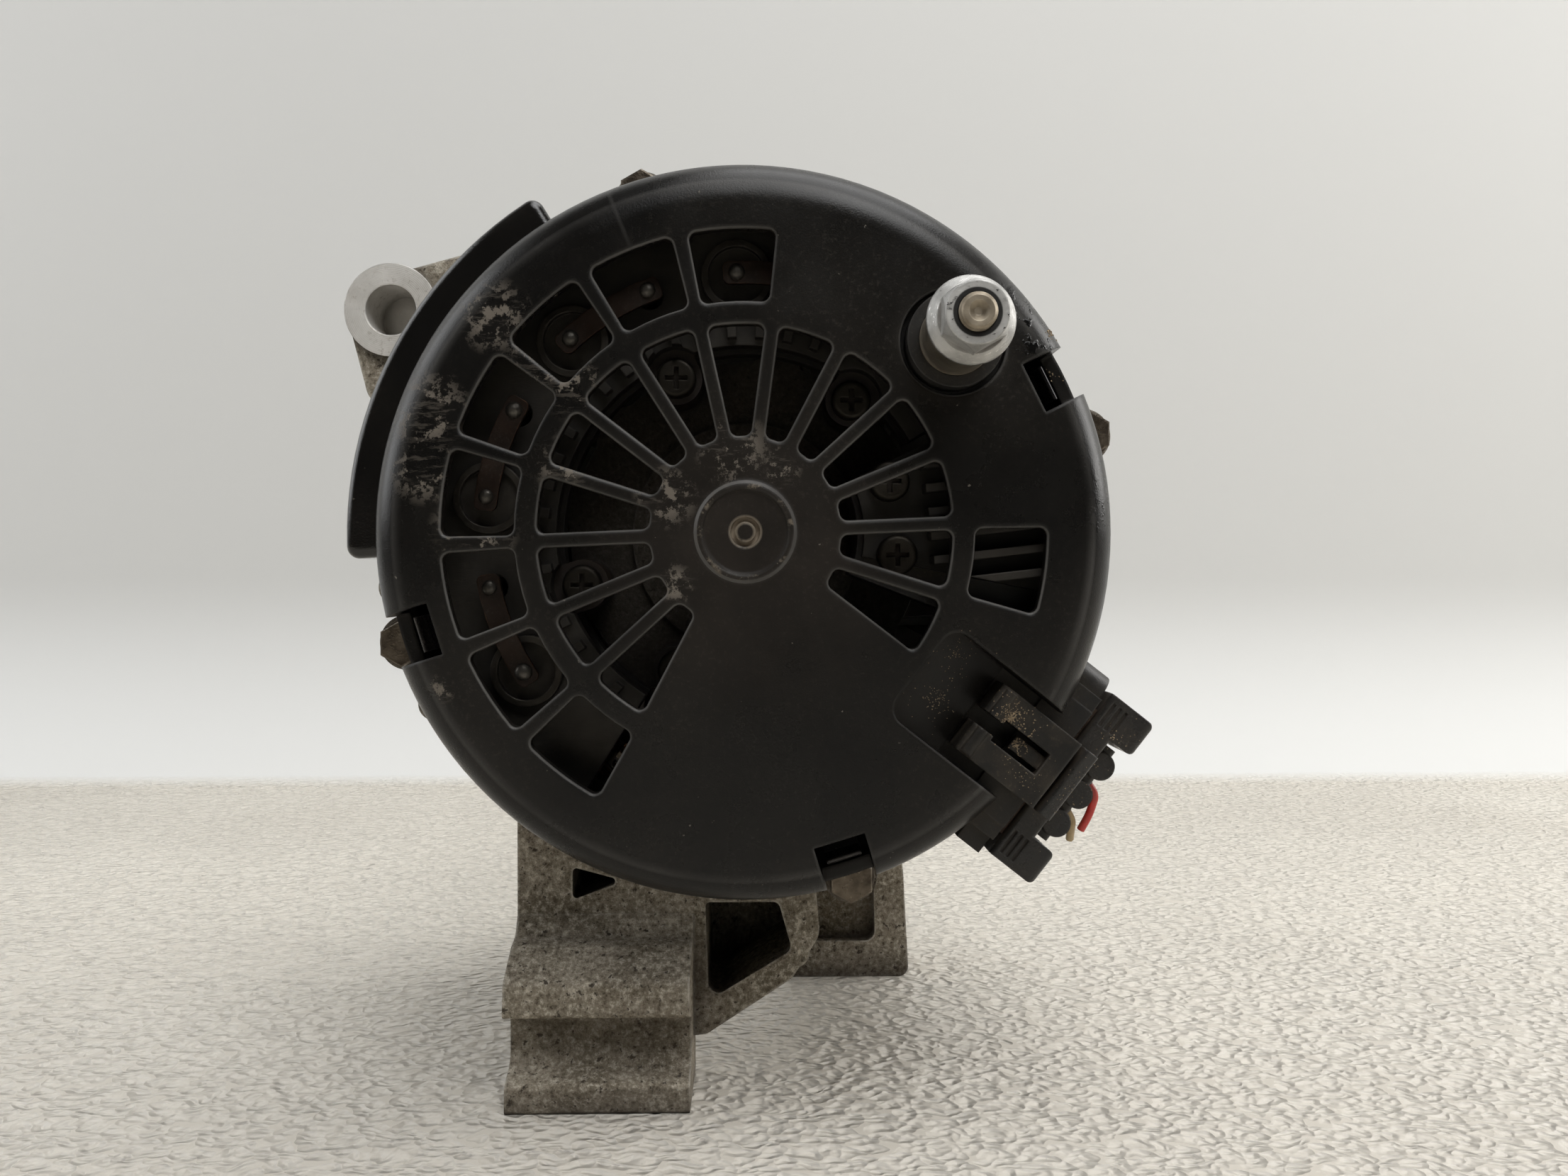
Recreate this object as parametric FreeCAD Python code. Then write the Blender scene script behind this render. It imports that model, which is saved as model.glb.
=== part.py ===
import FreeCAD, Part
import math
import os

# Car alternator, modelled as it comes apart on a bench. Millimetres.
# The shaft runs along Y with the pulley towards +Y and Z up. The origin is on the shaft axis,
# in the middle plane of the belt. Angles are counter-clockwise as seen from the rear cover.

V = FreeCAD.Vector
SHAFT_AXIS = V(0, 1, 0)

# ---- pulley and drive end
belt_ribs = 6
rib_pitch = 3.56
rib_depth = 2.9
pulley_radius = 28.0
pulley_flange = 1.3
pulley_gap = 5.0          # pulley to the nose of the drive-end bracket
nose_wall = 3.0           # lip that holds the front bearing in
wall_step = 5.0           # nose face to the face of the vented wall
drive_wall = 5.0

# ---- bearings: bore, outside, width, ball size, ball count
front_bearing = {"bore": 8.5, "outside": 23.5, "width": 14.0, "ball": 4.76, "count": 7}
rear_bearing = {"bore": 7.5, "outside": 17.5, "width": 11.0, "ball": 2.98, "count": 8}
ball_play = 0.05
seal_thickness = 1.0
seal_gap = 0.3
cage_gap = 0.7             # band of the cage to either ring
cage_rim = 0.7             # band left beside each ball's pocket
pocket_play = 0.15

# ---- rotor and stator
core_length = 32.0
core_outer = 64.5
rotor_radius = 50.0
air_gap = 0.4
winding_overhang = 13.0
winding_to_wall = 2.0
front_air_space = 6.0      # room the front fan's blades need beyond the winding
slot_count = 36
slot_width = 5.2
slot_mouth = 2.6
slot_root = 61.0
claw_count = 6
pole_length = 40.0
pole_disc = 11.0
pole_core = rotor_radius - 26.0
claw_root = 0.25 * rotor_radius      # half width of a finger where it leaves the disc
claw_toe = 0.11 * rotor_radius
claw_foot = 0.18 * rotor_radius
shaft_radius = 11.0
fan_sheet = 1.2
fan_blade_height = 7.0
fan_inner = 34.0            # blades stay outside the bearing retainer
fan_outer = rotor_radius - 3.0

# ---- castings
rim_outer = 67.5
rim_inner = 60.0
register_depth = 4.0      # how far each bracket reaches over the core
slip_wall = 5.0
bolt_circle = 70.5
bolt_radius = 2.5
bolt_flange = 4.9
bolt_angle = 17.0
lug_radius = 5.5
floor_z = -108.0

# ---- rear cover
cover_radius = 64.5
cover_wall = 2.5
cover_round = 8.0
cover_depth = 33.0        # outer face to the casting it stands on
cover_gap = 0.3
slot_step = 20.0
spoke_width = 2.45
inner_slots = (16.4, 35.4)
outer_windows = (39.3, 51.6)
window_sweep = 16.8
clip_angles = (26.5, 197.3, 286.9)
clip_window_width = 9.1
clip_window_inner = 55.1
stud_place = (35.5, 32.5)
stud_hole = 9.1

# ---- plug and socket, which lie along a radial line
plug_angle = -38.0
recess_half = 9.4
recess_start = 38.0
socket_half = 16.0
socket_wall = 3.0
plug_clearance = 0.4

# ---- stations along Y, worked out from the sizes above
pulley_width = belt_ribs * rib_pitch + 2 * pulley_flange
pulley_back = -pulley_width / 2
nose_y = pulley_back - pulley_gap
front_bearing_y = nose_y - nose_wall - front_bearing["width"]
drive_wall_y = nose_y - wall_step - drive_wall
core_front = drive_wall_y - winding_to_wall - winding_overhang - front_air_space
core_rear = core_front - core_length
rotor_middle = (core_front + core_rear) / 2
pole_front = rotor_middle + pole_length / 2
pole_rear = rotor_middle - pole_length / 2
slip_wall_in = core_rear - winding_overhang - winding_to_wall
slip_wall_out = slip_wall_in - slip_wall
rim_face = slip_wall_in - 1.0
rear_bearing_y = slip_wall_out + 1.0
cover_edge = rim_face - cover_gap
cover_face = rim_face - cover_depth
cover_inside = cover_face + cover_wall
bolt_seat = rim_face + 3.0
bolt_angles = [bolt_angle + 90 * quarter for quarter in range(4)]


def polar(radius, degrees, y=0.0):
    a = math.radians(degrees)
    return V(radius * math.cos(a), y, radius * math.sin(a))


def spin(shape, degrees):
    """Turn a copy about the shaft, counter-clockwise as seen from the rear."""
    turned = shape.copy()
    turned.rotate(V(0, 0, 0), SHAFT_AXIS, -degrees)
    return turned


def around(shape, angles):
    return [spin(shape, angle) for angle in angles]


def every(count, start=0.0):
    return [start + 360.0 * i / count for i in range(count)]


def rod(radius, y0, y1, x=0.0, z=0.0):
    return Part.makeCylinder(radius, y1 - y0, V(x, y0, z), SHAFT_AXIS)


def tube(outer, inner, y0, y1, x=0.0, z=0.0):
    return rod(outer, y0, y1, x, z).cut(rod(inner, y0, y1, x, z))


def block(x0, x1, y0, y1, z0, z1):
    return Part.makeBox(x1 - x0, y1 - y0, z1 - z0, V(x0, y0, z0))


def outline(corners, place):
    """Closed wire through corners (a, b) or (a, b, round); place puts (a, b) in space."""
    turns = []
    for i, corner in enumerate(corners):
        here = V(corner[0], corner[1], 0)
        before = V(corners[i - 1][0], corners[i - 1][1], 0)
        after = V(*corners[(i + 1) % len(corners)][:2], 0)
        if len(corner) < 3:
            turns.append((here, None, here))
            continue
        back = (before - here).normalize()
        on = (after - here).normalize()
        half = back.getAngle(on) / 2
        reach = corner[2] / math.tan(half)
        centre = here + (back + on).normalize() * (corner[2] / math.sin(half))
        middle = centre + (here - centre).normalize() * corner[2]
        turns.append((here + back * reach, middle, here + on * reach))
    edges = []
    for i, (start, middle, finish) in enumerate(turns):
        if middle is not None:
            edges.append(Part.Arc(place(start), place(middle), place(finish)).toShape())
        following = turns[(i + 1) % len(turns)][0]
        if (following - finish).Length > 1e-6:
            edges.append(Part.LineSegment(place(finish), place(following)).toShape())
    return Part.Wire(edges)


def prism(corners, y0, y1):
    """Outline in X and Z, given thickness along Y."""
    return Part.Face(outline(corners, lambda p: V(p.x, y0, p.y))).extrude(V(0, y1 - y0, 0))


def bar(corners, x0, x1):
    """Outline in Y and Z, drawn out along X."""
    return Part.Face(outline(corners, lambda p: V(x0, p.x, p.y))).extrude(V(x1 - x0, 0, 0))


def strip(corners, z0, z1):
    """Outline in X and Y, drawn out along Z."""
    return Part.Face(outline(corners, lambda p: V(p.x, p.y, z0))).extrude(V(0, 0, z1 - z0))


def lathe(corners):
    """Outline of (radius, y) turned about the shaft."""
    return Part.Face(outline(corners, lambda p: V(p.x, p.y, 0))).revolve(V(0, 0, 0), SHAFT_AXIS, 360)


def sector(inner, outer, start, end, y0, y1):
    middle = (start + end) / 2
    edges = [
        Part.LineSegment(polar(inner, start, y0), polar(outer, start, y0)).toShape(),
        Part.Arc(polar(outer, start, y0), polar(outer, middle, y0), polar(outer, end, y0)).toShape(),
        Part.LineSegment(polar(outer, end, y0), polar(inner, end, y0)).toShape(),
        Part.Arc(polar(inner, end, y0), polar(inner, middle, y0), polar(inner, start, y0)).toShape(),
    ]
    return Part.Face(Part.Wire(edges)).extrude(V(0, y1 - y0, 0))


def round_along_y(shape, radius):
    edges = [e for e in shape.Edges if abs(e.tangentAt(e.FirstParameter).y) > 0.999]
    return shape.makeFillet(radius, edges)


def joined(shapes):
    return shapes[0].multiFuse(shapes[1:]).removeSplitter()


def hexagon(across_flats, y0, y1, x=0.0, z=0.0):
    corner = across_flats / math.sqrt(3)
    points = [polar(corner, a) + V(x, 0, z) for a in every(6, 30)]
    return prism([(p.x, p.z) for p in points], y0, y1)


def screw(x, z, seat_y, tip_y, radius=1.9, head=3.6, head_height=2.4):
    """Pan-head screw whose head faces the rear, with a cross recess."""
    head_y = seat_y - head_height
    top = rod(head, head_y, seat_y, x, z)
    rim = [e for e in top.Edges if abs(e.BoundBox.YMin - head_y) < 1e-6 and e.BoundBox.YLength < 1e-6]
    top = top.makeFillet(0.9, rim)
    recess = [
        block(x - 2.0, x + 2.0, head_y - 1, head_y + 1.2, z - 0.4, z + 0.4),
        block(x - 0.4, x + 0.4, head_y - 1, head_y + 1.2, z - 2.0, z + 2.0),
    ]
    return top.fuse(rod(radius, seat_y, tip_y, x, z)).cut(joined(recess)).removeSplitter()


# ---------------------------------------------------------------- shaft line

def ring_radii(bearing):
    pitch = (bearing["bore"] + bearing["outside"]) / 2
    return pitch, pitch - 0.6 * bearing["ball"], pitch + 0.6 * bearing["ball"]


def bearing_outer_ring(bearing, y0):
    pitch, _, shoulder = ring_radii(bearing)
    y1 = y0 + bearing["width"]
    ring = lathe([(shoulder, y0), (bearing["outside"], y0, 0.8), (bearing["outside"], y1, 0.8), (shoulder, y1)])
    race = Part.makeTorus(pitch, bearing["ball"] + ball_play, V(0, (y0 + y1) / 2, 0), SHAFT_AXIS)
    return ring.cut(race)


def bearing_inner_ring(bearing, y0):
    pitch, shoulder, _ = ring_radii(bearing)
    y1 = y0 + bearing["width"]
    ring = lathe([(bearing["bore"], y0, 0.6), (shoulder, y0), (shoulder, y1), (bearing["bore"], y1, 0.6)])
    race = Part.makeTorus(pitch, bearing["ball"] + ball_play, V(0, (y0 + y1) / 2, 0), SHAFT_AXIS)
    return ring.cut(race)


def bearing_balls(bearing, y0):
    pitch = ring_radii(bearing)[0]
    middle = y0 + bearing["width"] / 2
    return Part.makeCompound([
        Part.makeSphere(bearing["ball"], polar(pitch, a, middle)) for a in every(bearing["count"])
    ])


def bearing_cage(bearing, y0):
    """Pressed band with a drilled pocket round each ball."""
    pitch, inner, outer = ring_radii(bearing)
    middle = y0 + bearing["width"] / 2
    half = bearing["ball"] + cage_rim
    band = tube(outer - cage_gap, inner + cage_gap, middle - half, middle + half)
    pocket = Part.makeCylinder(bearing["ball"] + pocket_play, outer - inner + 2, V(inner - 1, middle, 0), V(1, 0, 0))
    return band.cut(Part.makeCompound(around(pocket, every(bearing["count"]))))


def bearing_seals(bearing, y0):
    _, inner, outer = ring_radii(bearing)
    y1 = y0 + bearing["width"]
    shield = (outer, inner + seal_gap)
    return Part.makeCompound([
        tube(*shield, y0 + 0.2, y0 + 0.2 + seal_thickness),
        tube(*shield, y1 - 0.2 - seal_thickness, y1 - 0.2),
    ])


nut_thickness = 9.0
washer_thickness = 2.0
hub_front = 3.0
collar_radius = 12.5
thread_radius = 8.0
slip_ring_radius = 7.2
slip_sleeve_radius = 6.5
slip_ring_width = 5.0
slip_neck = 5.0
slip_ring_middles = (rear_bearing_y - 9.5, rear_bearing_y - 17.0)
shaft_rear = rear_bearing_y - 22.0


def rotor_shaft():
    thread_end = hub_front + washer_thickness + nut_thickness + 3.0
    front_seat = front_bearing_y
    rear_seat = rear_bearing_y + rear_bearing["width"]
    return lathe([
        (0, thread_end), (thread_radius - 1.5, thread_end), (thread_radius, thread_end - 1.5),
        (thread_radius, hub_front), (front_bearing["bore"], hub_front),
        (front_bearing["bore"], front_seat), (shaft_radius, front_seat),
        (shaft_radius, rear_seat), (rear_bearing["bore"], rear_seat),
        (rear_bearing["bore"], rear_bearing_y), (slip_neck, rear_bearing_y),
        (slip_neck, shaft_rear + 1), (slip_neck - 1, shaft_rear), (0, shaft_rear),
    ])


def slip_ring_sleeve():
    return lathe([
        (slip_neck, rear_bearing_y - 0.5), (slip_ring_radius, rear_bearing_y - 0.5, 0.5),
        (slip_ring_radius, slip_ring_middles[0] + slip_ring_width / 2),
        (slip_sleeve_radius, slip_ring_middles[0] + slip_ring_width / 2),
        (slip_sleeve_radius, shaft_rear + 1.5, 0.6), (slip_neck, shaft_rear + 1.5),
    ])


def slip_rings():
    half = slip_ring_width / 2
    return Part.makeCompound([
        tube(slip_ring_radius, slip_sleeve_radius, middle - half, middle + half)
        for middle in slip_ring_middles
    ])


def claw_pole(front):
    """One forged half of the rotor: disc, half core and six tapering fingers."""
    side = 1 if front else -1
    outer_y = rotor_middle + side * pole_length / 2
    inner_y = outer_y - side * pole_disc
    tip_y = rotor_middle - side * (pole_length / 2 - 1.0)
    low, high = sorted((outer_y, inner_y))
    disc = rod(rotor_radius - 9.0, low, high)
    low, high = sorted((inner_y, rotor_middle))
    core = rod(pole_core, low, high)
    fingers = []
    for angle in every(claw_count, 0 if front else 180.0 / claw_count):
        root = [(pole_core, -claw_foot), (rotor_radius, -claw_root), (rotor_radius, claw_root), (pole_core, claw_foot)]
        heel = [(rotor_radius - 10, -claw_root), (rotor_radius, -claw_root),
                (rotor_radius, claw_root), (rotor_radius - 10, claw_root)]
        toe = [(rotor_radius - 4, -claw_toe), (rotor_radius - 0.8, -claw_toe),
               (rotor_radius - 0.8, claw_toe), (rotor_radius - 4, claw_toe)]
        low, high = sorted((outer_y, inner_y))
        foot = prism(root, low, high)
        wires = [outline(c, lambda p, y=y: V(p.x, y, p.y)) for c, y in ((heel, inner_y), (toe, tip_y))]
        fingers.append(spin(foot.fuse(Part.makeLoft(wires, True)), angle))
    pole = joined([disc, core] + fingers)
    low, high = sorted((outer_y, tip_y))
    return pole.common(rod(rotor_radius, low, high)).cut(rod(shaft_radius, low - 1, high + 1))


bobbin_wall = 1.5
coil_outer = rotor_radius - 12.0
coil_ends = (pole_rear + pole_disc, pole_front - pole_disc)


def coil_bobbin():
    y0, y1 = coil_ends
    spool = tube(pole_core + bobbin_wall, pole_core, y0, y1)
    flange = coil_outer + 0.5
    ends = [tube(flange, pole_core, y0, y0 + bobbin_wall), tube(flange, pole_core, y1 - bobbin_wall, y1)]
    return joined([spool] + ends)


def field_coil():
    y0, y1 = coil_ends
    inner = pole_core + bobbin_wall
    return tube(coil_outer, inner, y0 + bobbin_wall, y1 - bobbin_wall)


def fan(front):
    """Pressed steel fan, welded to the end of its pole, with swept blades."""
    side = 1 if front else -1
    base = rotor_middle + side * pole_length / 2
    sheet = sorted((base, base + side * fan_sheet))
    height = sorted((base, base + side * (fan_sheet + fan_blade_height)))
    plate = tube(fan_outer - 2, shaft_radius + 3, *sheet)
    notches = around(sector(fan_inner + 2, fan_outer, 4, 18, sheet[0] - 1, sheet[1] + 1), every(11))
    blade = sector(fan_inner, fan_outer, 0, 2.2, *height)
    blade.rotate(V(fan_inner, 0, 0), SHAFT_AXIS, 32 * side)
    blade = blade.common(rod(fan_outer, *height))
    return joined([plate.cut(joined(notches))] + around(blade, every(11, 2)))


def spacer_collar():
    return tube(collar_radius, front_bearing["bore"], front_bearing_y + front_bearing["width"], pulley_back)


def pulley():
    half = pulley_width / 2
    rim_in = pulley_radius - rib_depth - 3.6
    hub = front_bearing["bore"] + 5.5
    ribs = [(pulley_radius, -half, 0.4), (pulley_radius, -half + pulley_flange)]
    for i in range(belt_ribs):
        start = -half + pulley_flange + i * rib_pitch
        ribs += [
            (pulley_radius - rib_depth, start + 0.38 * rib_pitch),
            (pulley_radius - rib_depth, start + 0.62 * rib_pitch),
            (pulley_radius, start + 0.97 * rib_pitch),
            (pulley_radius, start + rib_pitch),
        ][:4 if i == belt_ribs - 1 else 3]
    ribs += [(pulley_radius, half, 0.4)]
    inside = [
        (rim_in, half), (rim_in, 1.0, 2), (hub, 1.0, 1), (hub, hub_front), (front_bearing["bore"], hub_front),
        (front_bearing["bore"], -half), (hub + 2, -half), (hub + 2, -5.0, 1), (rim_in, -5.0, 2), (rim_in, -half),
    ]
    return lathe(ribs + inside)


def pulley_washer():
    return tube(front_bearing["bore"] + 5.0, front_bearing["bore"], hub_front, hub_front + washer_thickness)


def pulley_nut():
    seat = hub_front + washer_thickness
    nut = hexagon(24.0, seat, seat + nut_thickness)
    crown = lathe([(0, seat), (12.8, seat), (13.9, seat + 1), (13.9, seat + nut_thickness - 1.4),
                   (12.0, seat + nut_thickness), (0, seat + nut_thickness)])
    return nut.common(crown).cut(rod(thread_radius, seat - 1, seat + nut_thickness + 1))


# ---------------------------------------------------------------- stator

def stator_core():
    ring = tube(core_outer, rotor_radius + air_gap, core_rear, core_front)
    wide = block(rotor_radius + 2.4, slot_root, core_rear - 1, core_front + 1, -slot_width / 2, slot_width / 2)
    mouth = block(rotor_radius - 1, rotor_radius + 3, core_rear - 1, core_front + 1, -slot_mouth / 2, slot_mouth / 2)
    slots = around(wide.fuse(mouth), every(slot_count))
    return ring.cut(Part.makeCompound(slots))


leg_half = slot_width / 2 - 0.5
winding_inner = rotor_radius + 3.2


def stator_winding():
    """Copper legs in the slots and the two rounded baskets beyond the core."""
    outer = rim_inner - 1.0
    baskets = []
    for face, side in ((core_front, 1), (core_rear, -1)):
        near, far = face + side, face + side * winding_overhang
        baskets.append(lathe([(winding_inner, near, 1.5), (outer, near, 1.5), (outer, far, 3), (winding_inner, far, 3)]))
    leg = block(winding_inner + 0.3, outer - 0.3, core_rear - 3, core_front + 3, -leg_half, leg_half)
    return joined(baskets + around(leg, every(slot_count)))


def slot_liners():
    paper = 0.25
    half = leg_half + 0.1
    root = slot_root - 0.1
    outside = block(winding_inner, root, core_rear, core_front, -half - paper, half + paper)
    inside = block(winding_inner - 1, root - paper, core_rear - 2, core_front + 2, -half, half)
    return Part.makeCompound(around(outside.cut(inside), every(slot_count)))


# ---------------------------------------------------------------- castings

def lugs(y0, y1):
    shapes = []
    for angle in bolt_angles:
        arm = block(rim_outer - 6, bolt_circle, y0, y1, -lug_radius, lug_radius)
        shapes.append(spin(arm.fuse(rod(lug_radius, y0, y1, bolt_circle)), angle))
    return shapes


def rim_vents(y0, y1, kept):
    """Cooling windows round a rim, three between each pair of bolts, none behind a foot."""
    window = round_along_y(sector(rim_inner - 3, rim_outer + 3, -6.5, 6.5, y0, y1), 0.5)
    angles = [bolt + step for bolt in bolt_angles for step in (25, 45, 65)]
    return around(window, [a for a in angles if not kept[0] < a % 360 < kept[1]])


near_foot_x = (-45.2, -10.6)
far_foot_x = (9.0, 40.0)
ear_place = (-71.8, 46.2)
ear_radius = 9.4
ear_hole = 5.1
ear_face = rim_face + 7.0
ear_length = 24.0
ear_hole_depth = 12.0
foot_pocket_depth = 24.0
foot_wall = 3.5
foot_bolt_radius = 4.25
foot_bolt_depth = 18.0
near_foot_bolt = (-28.0, rim_face - 2.5)
post_height = 4.5
post_top = slip_wall_out - post_height
rectifier_posts = [(31.0, 52.0), (31.0, 114.0), (31.0, 197.0)]
regulator_posts = [(27.0, -8.0), (27.0, 20.0)]
brush_screw_x = 13.0
brush_screw_z = -25.0


def near_foot():
    """Rear foot: a nosed ledge, a hollow channel and a lip that stands on the bench."""
    y = rim_face
    return bar([
        (y + 8, -58), (y, -66), (y + 1.5, -72), (y - 2.5, -77.8, 2), (y - 6.2, -78.6, 2.5),
        (y - 14.4, -83.2, 1.6), (y - 15, -89.3, 1.2), (y - 7, -91.8, 1.5), (y - 7, -100.4, 3.5),
        (y - 13.3, -102.6, 1.2), (y - 13.3, floor_z, 0.8), (y + 8, floor_z, 1.5),
    ], *near_foot_x)


def foot_pockets(y0, y1):
    """The two cored hollows that lighten the web of the rear foot."""
    return [
        prism([(-8.3, -71.9, 1), (6.2, -71.9, 1.5), (8.9, -81.5, 2), (-7.6, -91.3, 2)], y0, y1),
        prism([(-34.4, -64.8, 0.8), (-24.2, -67.6, 0.8), (-34.4, -71.3, 0.8)], y0, y1),
    ]


def foot_box():
    """Walls and back of the hollows, kept clear of the stator core."""
    back = rim_face + foot_pocket_depth + foot_wall
    walls = [
        prism([(-11.8, -62), (9.8, -62), (12.6, -83.6, 3), (-11.4, -97, 3)], rim_face, back),
        prism([(-38, -52), (-20.6, -60), (-20.6, -70, 2), (-38, -76, 2)], rim_face, back),
    ]
    return [wall.cut(rod(core_outer + 0.8, rim_face - 1, back + 1)) for wall in walls]


def slip_ring_end_bracket():
    y_out, y_in = slip_wall_out, slip_wall_in
    shell = lathe([
        (0, y_out - 1), (22, y_out - 1), (22, y_out), (cover_radius - cover_wall - 0.3, y_out, 1),
        (cover_radius - cover_wall - 0.3, rim_face), (rim_outer, rim_face, 1.5),
        (rim_outer, core_rear + register_depth), (0, core_rear + register_depth),
    ])
    web = prism([
        (near_foot_x[0], -40), (near_foot_x[0], -102), (-8, -98, 2), (8.9, -87.1, 5), (14.4, -78.5, 5),
        (13.6, -69, 2), (10, -55), (0, -40),
    ], rim_face, rim_face + 7)
    ear = rod(ear_radius, ear_face, ear_face + ear_length, *ear_place)
    ear_web = prism([
        (-68.0, 54.8), (-58, 57.6, 3), (-38, 55), (-30, 30), (-62, 8), (-77, 29.5, 4), (-80.2, 42),
    ], ear_face + 1.5, ear_face + 14)
    bumps = []
    for angle, size in ((117, 3.6), (188, 3.4), (208, 3.2), (235, 3.2)):
        spot = polar(bolt_circle - 1.0, angle)
        bumps.append(rod(size, rim_face, rim_face + 12, spot.x, spot.z))
    body = joined([shell, web, near_foot(), ear, ear_web] + foot_box()
                  + lugs(bolt_seat, core_rear + register_depth) + bumps)
    inside = lathe([
        (22, y_in, 1.5), (rim_inner, y_in, 3), (rim_inner, core_rear), (core_outer, core_rear),
        (core_outer, core_rear + register_depth + 1), (0, core_rear + register_depth + 1),
        (0, rear_bearing_y + rear_bearing["width"] + 1), (22, rear_bearing_y + rear_bearing["width"] + 1),
    ])
    cuts = [
        inside,
        rod(rear_bearing["outside"], rear_bearing_y, y_in + 12),
        rod(11.5, y_out - 2, rear_bearing_y + 1),
        rod(ear_hole, ear_face - 1, ear_face + ear_hole_depth, *ear_place),
        Part.makeCylinder(foot_bolt_radius, foot_bolt_depth, V(*near_foot_bolt, floor_z), V(0, 0, 1)),
    ]
    cuts += foot_pockets(rim_face - 10, rim_face + foot_pocket_depth)
    cuts += around(round_along_y(sector(34, 55, -9, 9, y_out - 2, y_in + 2), 2.0), every(12, 5))
    cuts += rim_vents(rim_face + 4, core_rear - 3, (215, 290))
    for angle in bolt_angles:
        p = polar(bolt_circle, angle)
        cuts.append(rod(bolt_radius, bolt_seat - 1, core_front, p.x, p.z))
        cuts.append(rod(bolt_flange + 0.4, bolt_seat - 6, bolt_seat, p.x, p.z))
    body = body.cut(Part.makeCompound(cuts))
    posts = [polar(r, a) for r, a in rectifier_posts + regulator_posts]
    posts += [V(side * brush_screw_x, 0, brush_screw_z) for side in (-1, 1)]
    stands = [rod(4.4, post_top, y_out + 1, p.x, p.z) for p in posts]
    drills = [rod(1.9, post_top - 1, y_in + 1, p.x, p.z) for p in posts]
    return joined([body] + stands).cut(Part.makeCompound(drills))


far_foot_y = (drive_wall_y - 5.0, nose_y + 4.0)
far_foot_bolt = (25.0, (far_foot_y[0] + 4.0 + far_foot_y[1]) / 2)
retainer_radius = 28.6
hub_outer = 33.5


def drive_end_bracket():
    shell = lathe([
        (0, nose_y), (hub_outer - 4, nose_y, 2), (hub_outer, nose_y - wall_step, 2),
        (rim_outer - 5, nose_y - wall_step, 2), (rim_outer, nose_y - wall_step - 6, 3),
        (rim_outer, core_front - register_depth), (0, core_front - register_depth),
    ])
    foot = prism([
        (far_foot_x[0], floor_z, 1.5), (far_foot_x[1], floor_z, 2.5), (far_foot_x[1] - 1.4, -82, 4),
        (36, -55), (0, -50), (far_foot_x[0] - 3, -75, 6),
    ], *far_foot_y)
    body = joined([shell, foot] + lugs(core_front - register_depth, nose_y - wall_step - 4))
    inside = lathe([
        (hub_outer, drive_wall_y, 1.5), (rim_inner, drive_wall_y, 3), (rim_inner, core_front),
        (core_outer, core_front), (core_outer, core_front - register_depth - 1),
        (0, core_front - register_depth - 1), (0, front_bearing_y), (hub_outer, front_bearing_y),
    ])
    pocket = [(13.5, -99, 2.5), (far_foot_x[1] - 8.5, -99, 2.5), (far_foot_x[1] - 9, -78, 3), (12.5, -78, 3)]
    cuts = [
        inside,
        rod(front_bearing["outside"], front_bearing_y - 1, nose_y - nose_wall),
        rod(collar_radius + 1.5, nose_y - nose_wall - 1, nose_y + 1),
        prism(pocket, far_foot_y[0] - 1, far_foot_y[0] + 4),
        Part.makeCylinder(foot_bolt_radius, foot_bolt_depth, V(*far_foot_bolt, floor_z), V(0, 0, 1)),
    ]
    vent = round_along_y(sector(hub_outer + 3, rim_inner - 3, -10.5, 10.5, drive_wall_y - 1, nose_y), 2.0)
    cuts += around(vent, every(12, 5))
    cuts += rim_vents(core_front + 4, drive_wall_y - 2, (270, 325))
    for angle in bolt_angles:
        p = polar(bolt_circle, angle)
        cuts.append(rod(bolt_radius, core_front - register_depth - 1, bolt_tip, p.x, p.z))
    for angle in every(4, 45):
        p = polar(retainer_radius, angle)
        cuts.append(rod(1.9, front_bearing_y - 1, front_bearing_y + 8, p.x, p.z))
    return body.cut(Part.makeCompound(cuts))


bolt_tip = nose_y - wall_step - 7.0


def through_bolts():
    """Four long hexagon-headed bolts that clamp the two castings on the core."""
    bolts = []
    for angle in bolt_angles:
        p = polar(bolt_circle, angle)
        head = hexagon(8.0, bolt_seat - 4.5, bolt_seat - 0.8, p.x, p.z)
        flange = rod(bolt_flange, bolt_seat - 0.8, bolt_seat, p.x, p.z)
        bolts.append(joined([head, flange, rod(bolt_radius, bolt_seat, bolt_tip, p.x, p.z)]))
    return Part.makeCompound(bolts)


def bearing_retainer():
    plate = tube(hub_outer - 0.5, 19.0, front_bearing_y - 2, front_bearing_y)
    holes = [polar(retainer_radius, a) for a in every(4, 45)]
    return plate.cut(Part.makeCompound([rod(2.1, front_bearing_y - 3, front_bearing_y + 1, p.x, p.z) for p in holes]))


def retainer_screws():
    places = [polar(retainer_radius, a) for a in every(4, 45)]
    return Part.makeCompound([screw(p.x, p.z, front_bearing_y - 2, front_bearing_y + 7) for p in places])


# ---------------------------------------------------------------- electrics under the cover

negative_plate = (post_top - 3.5, post_top)
carrier = (negative_plate[0] - 5.5, negative_plate[0])
positive_plate = (carrier[0] - 3.5, carrier[0])
rectifier_sweep = (30.0, 238.0)
diode_ring = 46.0
diode_radius = 6.35
positive_angles = (92.0, 132.0, 172.0, 212.0)
negative_angles = (72.0, 112.0, 152.0, 192.0)
lead_top = positive_plate[0] - 5.0
stud_thread = 3.0
sleeve_radius = 6.2
stud_tip = cover_face - 24.0
nut_seat = cover_face - 17.0


def post_holes(places, radius, y0, y1):
    return [rod(radius, y0, y1, p.x, p.z) for p in (polar(r, a) for r, a in places)]


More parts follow.
